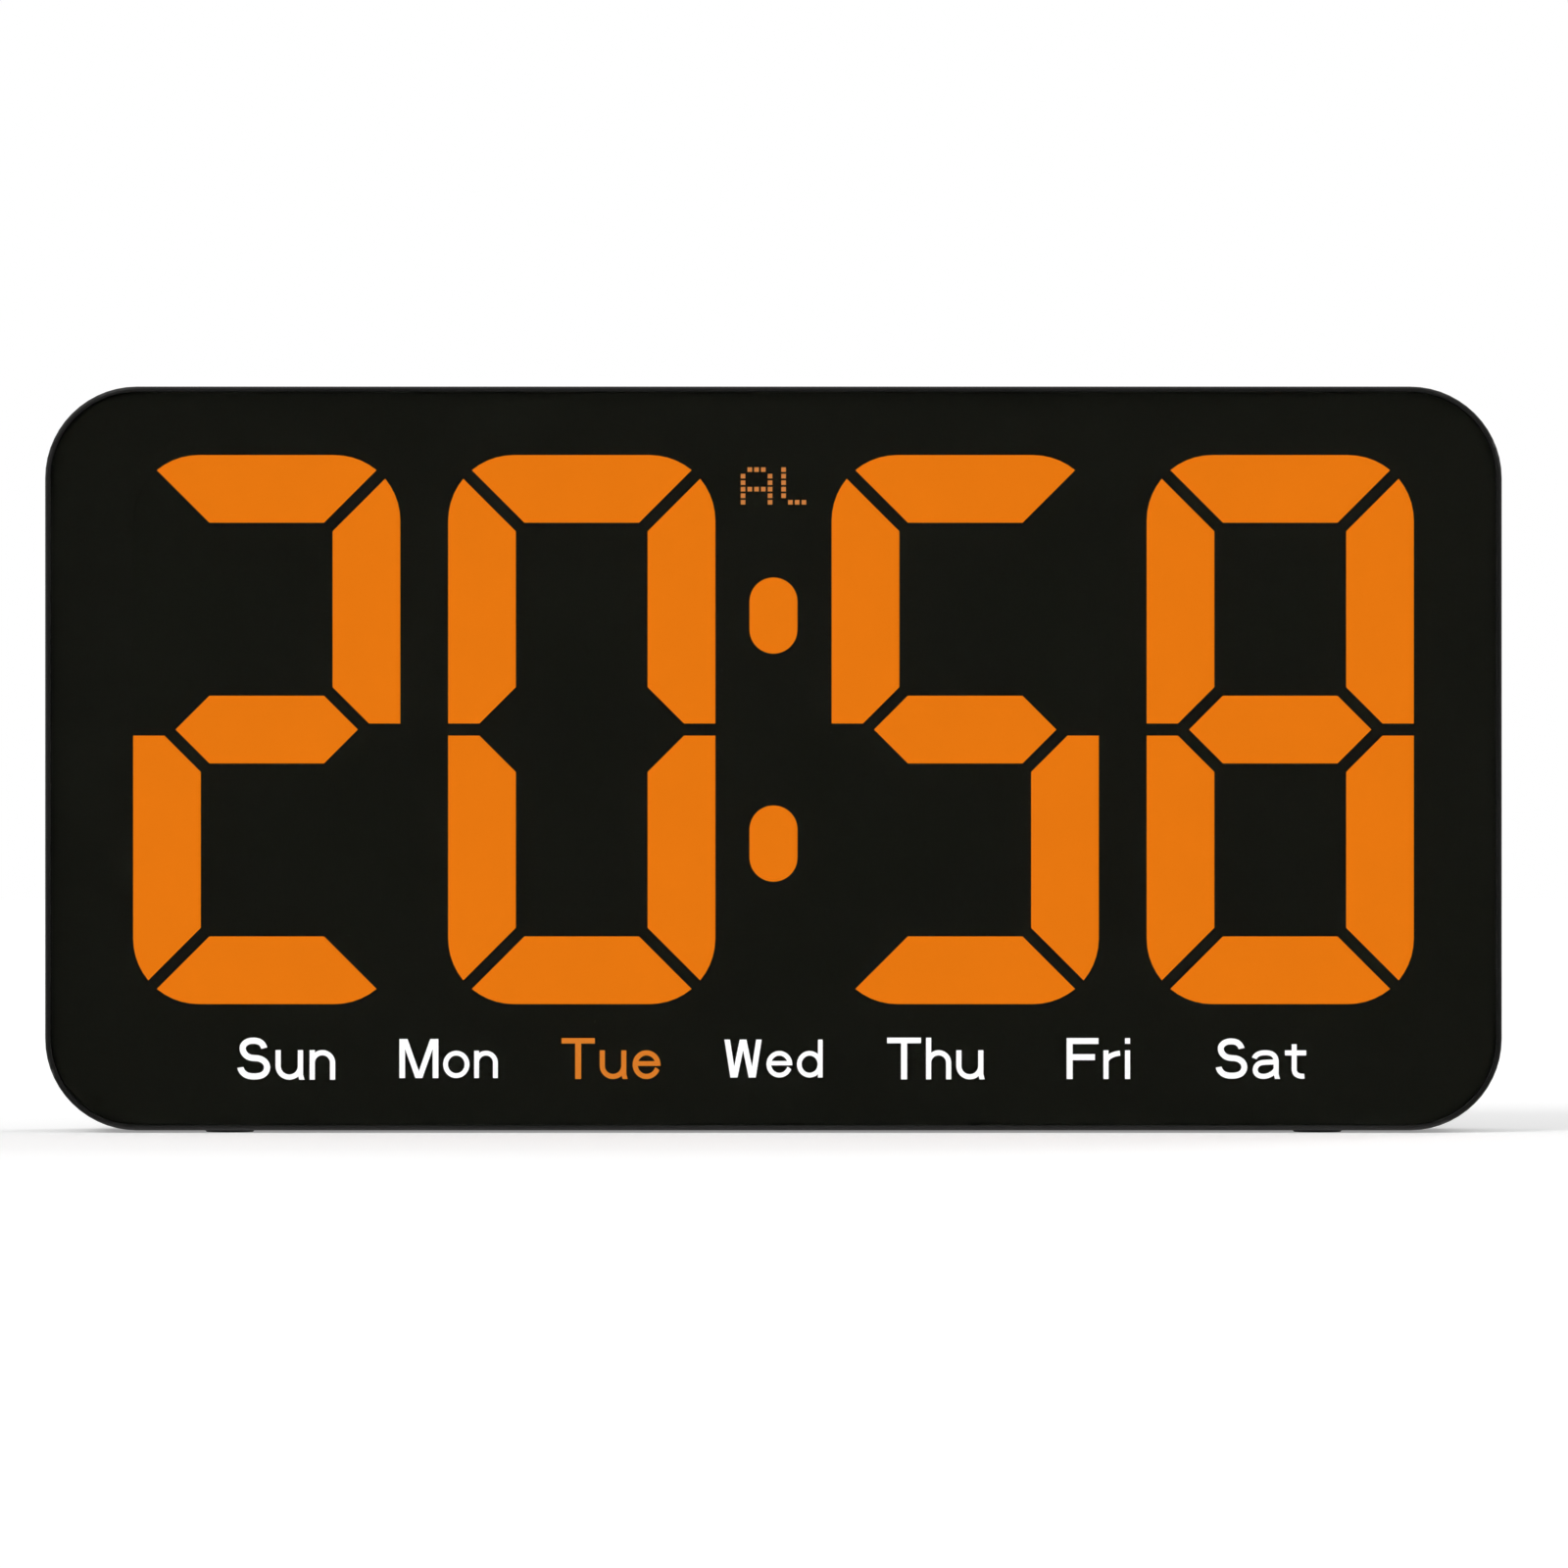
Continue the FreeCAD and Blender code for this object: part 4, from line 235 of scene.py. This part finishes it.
epoxy = moulded("chip_epoxy", (36, 36, 38), rough=(0.5, 0.65), grain=3200)
connector = moulded("connector_plastic", (30, 30, 31), rough=(0.4, 0.55))
led_resin = moulded("led_resin", (222, 210, 160), rough=(0.2, 0.35), spread=0.06)
insulation = moulded("wire_insulation", (150, 26, 22), rough=(0.4, 0.5))
steel = metal("plated_steel", (178, 178, 176))
screw_black = metal("black_oxide_screw", (52, 52, 54), rough=(0.3, 0.45))
nickel = metal("nickel", (196, 190, 178), rough=(0.16, 0.3))
aluminium = metal("aluminium_can", (196, 198, 202))
orange_light = lit_or_painted_glow("orange_light", ORANGE, GLOW)
legend_light = lit_or_painted_glow("legend_light", LEGEND_ORANGE, GLOW)
alarm_light = lit_or_painted_glow("alarm_light", ALARM_ORANGE, GLOW)
# Painted glow: the white day words are print, not lit from behind, and this glow makes them show
# bright white
white_print_painted_glow = lit_or_painted_glow("white_print_painted_glow", (255, 255, 255), PAINTED_PRINT_GLOW)
sleeve = moulded("cell_sleeve", (96, 104, 112), rough=(0.25, 0.35), grain=900,
                 depth=0.02 * MM, spread=0.05)
sleeve_band = moulded("cell_band", (34, 92, 70), rough=(0.25, 0.35), grain=900,
                      depth=0.02 * MM, spread=0.05)
ink_white = moulded("white_ink", (226, 226, 222), rough=(0.5, 0.6), grain=5000,
                    depth=0.01 * MM, spread=0.03)

LOOKS = (
    (case_plastic, "front_bezel"),
    (rear_plastic, "rear_cover battery_door stand_leg"),
    (button_plastic, "snooze_bar button_mode button_set button_up button_down"),
    (film, "mask_film"),
    (dark_tile, "dark_segments"),
    (tape, "lens_tape"),
    (rubber, "rubber_feet stand_pad"),
    (white_plastic, "reflector_frame"),
    (diffuser, "day_tiles"),
    (epoxy, "driver_chips microcontroller resistors"),
    (connector, "board_connector buzzer switch_housings snooze_switch snooze_plunger "
                "plunger_mode plunger_set plunger_up plunger_down"),
    (led_resin, "segment_leds"),
    (insulation, "battery_leads"),
    (steel, "display_board_screws control_board_screws clock_crystal usb_socket stand_pin"),
    (screw_black, "case_screws"),
    (nickel, "battery_springs battery_contacts"),
    (aluminium, "capacitors"),
    (circuit_board(), "display_board control_board"),
    (orange_light, "digit_1_segments digit_2_segments digit_3_segments digit_4_segments "
                   "colon_tiles"),
    (legend_light, "legend_tue"),
    (alarm_light, "alarm_tile"),
    # the white day words: print given a painted glow
    (white_print_painted_glow, "legend_sun legend_mon legend_wed legend_thu legend_fri legend_sat"),
)


def paint(obj, mat):
    obj.data.materials.clear()
    obj.data.materials.append(mat)


for look, names in LOOKS:
    for name in names.split():
        paint(nodes[name], look)


# ------------------------------------------------------------------ pieces made here
def add_mesh(name, bm):
    mesh = bpy.data.meshes.new(name)
    bm.to_mesh(mesh)
    bm.free()
    obj = bpy.data.objects.new(name, mesh)
    bpy.context.scene.collection.objects.link(obj)
    return obj


LENS_CORNER = 13.9 * MM
LENS_EDGE = 0.25 * MM                 # radius of the window's front edge
LENS_GAP = 0.02 * MM                  # between the window and the film behind it
CORNER_STEPS = 24
EDGE_STEPS = 4


def rounded_outline(half_w, half_h, radius):
    """Points of a rounded rectangle about the origin, anticlockwise."""
    points = []
    for sx, sz, start in ((1, 1, 0), (-1, 1, 90), (-1, -1, 180), (1, -1, 270)):
        for k in range(CORNER_STEPS + 1):
            t = math.radians(start + 90.0 * k / CORNER_STEPS)
            points.append((sx * (half_w - radius) + radius * math.cos(t),
                           sz * (half_h - radius) + radius * math.sin(t)))
    return points


def lens():
    """The clear window: a polished plate with a small rounded front edge."""
    low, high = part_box("front_lens")
    cx, cz = (low.x + high.x) / 2, (low.z + high.z) / 2
    half_w, half_h = (high.x - low.x) / 2, (high.z - low.z) / 2
    rings = []
    for k in range(EDGE_STEPS + 1):
        t = math.radians(90.0 * k / EDGE_STEPS)
        rings.append((LENS_EDGE * (1 - math.sin(t)), low.y + LENS_EDGE * (1 - math.cos(t))))
    rings.append((0.0, high.y - LENS_GAP))
    bm = bmesh.new()
    loops = []
    for inset, y in rings:
        outline = rounded_outline(half_w - inset, half_h - inset, LENS_CORNER - inset)
        loops.append([bm.verts.new((cx + x, y, cz + z)) for x, z in outline])
    for a, b in zip(loops, loops[1:]):
        for k in range(len(a)):
            j = (k + 1) % len(a)
            bm.faces.new((a[k], b[k], b[j], a[j]))
    bm.faces.new(loops[0])
    bm.faces.new(loops[-1])
    bmesh.ops.recalc_face_normals(bm, faces=bm.faces)
    obj = add_mesh("clear_window", bm)
    paint(obj, clear_acrylic())
    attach(obj, "case")
    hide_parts("front_lens")


CELLS = 3
CELL_RADIUS = 5.25 * MM
CELL_LENGTH, CELL_NUB = 43.5 * MM, 1.0 * MM
CELL_PITCH = 10.9 * MM
TURN_STEPS = 72
# From a cell's flat end: millimetres along, radius, and the finish up to the next point.
CELL_PROFILE = (
    (0.25, 3.3, "steel"), (0.0, 3.5, "steel"), (0.0, 4.35, "steel"), (0.06, 4.36, "sleeve"),
    (0.04, 4.75, "sleeve"), (0.12, 5.05, "sleeve"), (0.35, 5.22, "sleeve"),
    (0.7, 5.25, "sleeve"), (30.4, 5.25, "band"), (42.6, 5.25, "band"), (43.1, 5.18, "band"),
    (43.4, 4.95, "band"), (43.45, 4.7, "band"), (43.3, 4.65, "steel"), (43.3, 2.3, "steel"),
    (43.5, 2.05, "steel"), (43.5, 1.9, "steel"), (44.2, 1.88, "steel"),
    (44.42, 1.78, "steel"), (44.5, 1.55, "steel"),
)


def lathe(bm, profile, origin, slots):
    """Turns (along, radius, slot) points about the X direction through origin, ends closed."""
    loops = []
    for along, radius, _ in profile:
        ring = []
        for k in range(TURN_STEPS):
            t = 2 * math.pi * k / TURN_STEPS
            ring.append(bm.verts.new((origin[0] + along, origin[1] + radius * math.sin(t),
                                      origin[2] + radius * math.cos(t))))
        loops.append(ring)
    for (a, b), (_, _, slot) in zip(zip(loops, loops[1:]), profile):
        for k in range(TURN_STEPS):
            j = (k + 1) % TURN_STEPS
            face = bm.faces.new((a[k], b[k], b[j], a[j]))
            face.material_index = slots.index(slot)
            face.smooth = True
    for ring, slot in ((loops[0], profile[0][2]), (loops[-1], profile[-1][2])):
        bm.faces.new(ring).material_index = slots.index(slot)


def cells():
    """Three AAA cells head to tail: steel cans in shrink sleeves rolled over their shoulders."""
    low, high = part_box("aaa_cells")
    y = (low.y + high.y) / 2
    slots = ["steel", "sleeve", "band"]
    bm = bmesh.new()
    for k in range(CELLS):
        end, turn = (high.x, 1) if k % 2 == 0 else (low.x, -1)
        start = end - turn * (CELL_LENGTH + CELL_NUB)
        z = low.z + CELL_RADIUS + k * CELL_PITCH
        profile = [(turn * along * MM, radius * MM, slot) for along, radius, slot in CELL_PROFILE]
        lathe(bm, profile, (start, y, z), slots)
    bmesh.ops.recalc_face_normals(bm, faces=bm.faces)
    obj = add_mesh("wrapped_cells", bm)
    for mat in (nickel, sleeve, sleeve_band):
        obj.data.materials.append(mat)
    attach(obj, "case")
    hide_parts("aaa_cells")


FROM_BEHIND = Matrix(((-1, 0, 0), (0, 0, 1), (0, 1, 0)))    # for faces that look along +Y
FROM_ABOVE = Matrix.Identity(3)       # for faces that look up, read from the front
WORD_INSET = 0.01 * MM                # a word starts this far inside the face it is on
LETTER_STEPS = 4
POCKET_DEEP = 1.0 * MM                # of the shallow pocket round the four buttons
BUTTON_WORD, BUTTON_WORD_T = 2.0 * MM, 0.06 * MM
BUTTON_WORD_RISE = 0.45 * MM          # from a cap's top to the middle of its word
SNOOZE_WORD, SNOOZE_WORD_T = 3.0 * MM, 0.04 * MM
SNOOZE_WORD_X = 16.2 * MM             # midway between the bar's grip grooves and its ends


def lettering(name, words, turn, depth, body):
    """Raised words: (text, size, x, y, z), each centred on its point, turned to be read."""
    lift = turn @ Vector((0, 0, depth / 2))
    bm = bmesh.new()
    for text, size, x, y, z in words:
        curve = bpy.data.curves.new(name + "_text", "FONT")
        curve.body, curve.size, curve.extrude = text, size, depth / 2
        curve.align_x, curve.align_y = "CENTER", "CENTER"
        curve.resolution_u = LETTER_STEPS
        source = bpy.data.objects.new(name + "_text", curve)
        mesh = bpy.data.meshes.new_from_object(source)
        mesh.transform(Matrix.Translation(Vector((x, y, z)) + lift) @ turn.to_4x4())
        bm.from_mesh(mesh)
        bpy.data.objects.remove(source)
        bpy.data.curves.remove(curve)
        bpy.data.meshes.remove(mesh)
    obj = add_mesh(name, bm)
    paint(obj, ink_white)
    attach(obj, body)


def button_words():
    """The words over the four buttons, on the floor of the pocket round them."""
    y = BACK_Y - POCKET_DEEP - WORD_INSET
    words = []
    for text, node in (("MODE", "button_mode"), ("SET", "button_set"), ("UP", "button_up"),
                       ("DOWN", "button_down")):
        low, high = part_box(node)
        words.append((text, BUTTON_WORD, (low.x + high.x) / 2, y, high.z + BUTTON_WORD_RISE))
    lettering("button_words", words, FROM_BEHIND, BUTTON_WORD_T, "case")


def snooze_words():
    """The words on the snooze bar, either side of its grip grooves."""
    low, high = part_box("snooze_bar")
    words = [(text, SNOOZE_WORD, x, (low.y + high.y) / 2, high.z - WORD_INSET)
             for text, x in (("SNOOZE", -SNOOZE_WORD_X), ("LIGHT", SNOOZE_WORD_X))]
    lettering("snooze_words", words, FROM_ABOVE, SNOOZE_WORD_T, "snooze")


CAP_SIZE = 6.0 * MM
CAP_SUNK = 0.1 * MM                   # from the case's back to the caps' faces
SIGN_SHARE = 0.28                     # half a sign's size as a share of its cap's
SIGN_SUNK = 0.25 * MM                 # from a cap's face to the floor of its sign
SIGN_INK = 0.12 * MM                  # depth of the ink on that floor
SIGN_GAP = 0.02 * MM                  # between the ink and the sign's walls
RING_STEPS = 48


def sides(outline):
    return zip(outline, outline[1:] + outline[:1])


def add_sign(bm, outlines, x, y, z):
    """A closed plate of ink from outlines that touch, walled where only one of them ends."""
    front, back, border = {}, {}, set()
    for outline in outlines:
        for u, v in outline:
            if (u, v) not in front:
                front[u, v] = bm.verts.new((x + u, y + SIGN_INK, z + v))
                back[u, v] = bm.verts.new((x + u, y, z + v))
        for side in sides(outline):
            border ^= {frozenset(side)}
    for outline in outlines:
        bm.faces.new([front[p] for p in outline])
        bm.faces.new([back[p] for p in outline])
        for p, q in sides(outline):
            if frozenset((p, q)) in border:
                bm.faces.new((front[p], back[p], back[q], front[q]))
    bmesh.ops.recalc_face_normals(bm, faces=bm.faces)


def button_signs():
    """White ink in the sign sunk in each cap: three lines, a ring, and triangles up and down."""
    sign_floor = BACK_Y - CAP_SUNK - SIGN_SUNK
    a = CAP_SIZE * SIGN_SHARE - SIGN_GAP

    def triangle(turn):
        return [[(-a, -turn * a * 0.7), (a, -turn * a * 0.7), (0.0, turn * a * 0.9)]]

    def circle(radius):
        angles = [2 * math.pi * k / RING_STEPS for k in range(RING_STEPS)]
        return [(radius * math.cos(t), radius * math.sin(t)) for t in angles]

    lines = [[(-a, v - a * 0.17), (a, v - a * 0.17), (a, v + a * 0.17), (-a, v + a * 0.17)]
             for v in (-a * 0.75, 0.0, a * 0.75)]
    outer, inner = circle(a), circle(a * 0.52)
    ring = [[outer[k - 1], outer[k], inner[k], inner[k - 1]] for k in range(RING_STEPS)]
    signs = (("mode", lines), ("set", ring), ("up", triangle(1)), ("down", triangle(-1)))
    for name, outlines in signs:
        low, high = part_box("button_" + name)
        bm = bmesh.new()
        add_sign(bm, outlines, (low.x + high.x) / 2, sign_floor, (low.z + high.z) / 2)
        obj = add_mesh("sign_" + name, bm)
        paint(obj, ink_white)
        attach(obj, "key_" + name)


lens()
cells()
button_words()
snooze_words()
button_signs()

# ------------------------------------------------------------------ stage
FLOOR_LIFT = 0.29                     # glow that brings the lit floor up to white
AMBIENT = 0.65
SUN_WIDTH = math.radians(24)


def plane(name, centre, across, up, mat):
    bm = bmesh.new()
    c, a, u = Vector(centre), Vector(across) / 2, Vector(up) / 2
    bm.faces.new([bm.verts.new(p) for p in (c - a - u, c + a - u, c + a + u, c - a + u)])
    obj = add_mesh(name, bm)
    paint(obj, mat)


def floor_material():
    """A matt white floor, lifted to white where it is seen, with its shadows kept."""
    s = Shader("floor_white", Roughness=0.9, Specular_IOR_Level=0.0, Emission_Color=WHITE)
    s.set("Base Color", s.ramp(s.noise(scale=3, detail=2), shade(WHITE, 0.80), shade(WHITE, 0.82)))
    lift = s.add("Math", {0: s.seen(), 1: FLOOR_LIFT}, operation="MULTIPLY")[0]
    s.set("Emission Strength", lift)
    return s.mat


def flag_material():
    """A studio flag: dark to reflections, paler at its sides, not there for anything else."""
    mat = bpy.data.materials.new("studio_flag")
    mat.use_nodes = True
    mat.node_tree.nodes.clear()
    t = Nodes(mat.node_tree)
    path = t.add("LightPath")
    direct = t.add("Math", {0: path["Diffuse Depth"], 1: 0.5}, operation="LESS_THAN")[0]
    mirrored = t.add("Math", {0: direct, 1: path["Is Glossy Ray"]}, operation="MULTIPLY")[0]
    x = t.add("SeparateXYZ", {"Vector": t.add("TexCoord")["Object"]})["X"]
    side = t.add("Math", {0: x}, operation="ABSOLUTE")[0]
    fade = t.add("MapRange", {"Value": side, "From Min": 0.45, "From Max": 1.2, "To Max": 0.5},
                 interpolation_type="SMOOTHSTEP")["Result"]
    clear = t.add("BsdfTransparent")[0]
    dark = t.add("Emission", {"Strength": fade})[0]
    surface = t.add("MixShader", {"Fac": mirrored, 1: clear, 2: dark})[0]
    t.add("OutputMaterial", {"Surface": surface})
    return mat


def studio_world():
    """White where it is seen, and dimmer as the light that it gives."""
    world = bpy.data.worlds.new("studio_world")
    bpy.context.scene.world = world
    world.use_nodes = True
    world.node_tree.nodes.clear()
    t = Nodes(world.node_tree)
    ambient = t.add("Background", {"Color": WHITE, "Strength": AMBIENT})[0]
    white = t.add("Background", {"Color": WHITE, "Strength": 1.0})[0]
    surface = t.add("MixShader", {"Fac": t.seen(), 1: ambient, 2: white})[0]
    t.add("OutputWorld", {"Surface": surface})


def sun(name, toward, strength):
    """Even light from far away, with an edge as soft as a large softbox gives."""
    light = bpy.data.lights.new(name, "SUN")
    light.energy = strength * math.pi
    light.angle = SUN_WIDTH
    obj = bpy.data.objects.new(name, light)
    bpy.context.scene.collection.objects.link(obj)
    obj.rotation_euler = (-Vector(toward)).to_track_quat("-Z", "Y").to_euler()


# In metres: the floor, a flag that stands before the clock and one that lies before it.
plane("studio_floor", (0, 0, 0), (8, 0, 0), (0, 8, 0), floor_material())
flag = flag_material()
plane("studio_flag", (0, -1.0, 0.6), (2.4, 0, 0), (0, 0, 2.4), flag)
plane("table_flag", (0, -0.516, 0.0003), (2.4, 0, 0), (0, 1.0, 0), flag)
studio_world()
sun("key_light", (-0.6, -0.9, 0.8), 0.35)
sun("back_light", (0.7, 1.0, 0.9), 0.15)

# ------------------------------------------------------------------ camera
# Square to the window and level with it.
FRAME_WIDTH = 253.19 * MM             # of the picture, where the display film is
DISTANCE = 2.0                        # from the camera to the film
AIM_X, AIM_Z = 1.70 * MM, 56.28 * MM  # the middle of the picture
SENSOR = 36.0
camera = bpy.data.cameras.new("camera")
camera.sensor_width = SENSOR
camera.lens = SENSOR * DISTANCE / FRAME_WIDTH
camera_object = bpy.data.objects.new("camera", camera)
bpy.context.scene.collection.objects.link(camera_object)
camera_object.location = (AIM_X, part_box("mask_film")[1].y - DISTANCE, AIM_Z)
camera_object.rotation_euler = (math.radians(90), 0, 0)
bpy.context.scene.camera = camera_object
bpy.context.scene.view_settings.view_transform = "Standard"
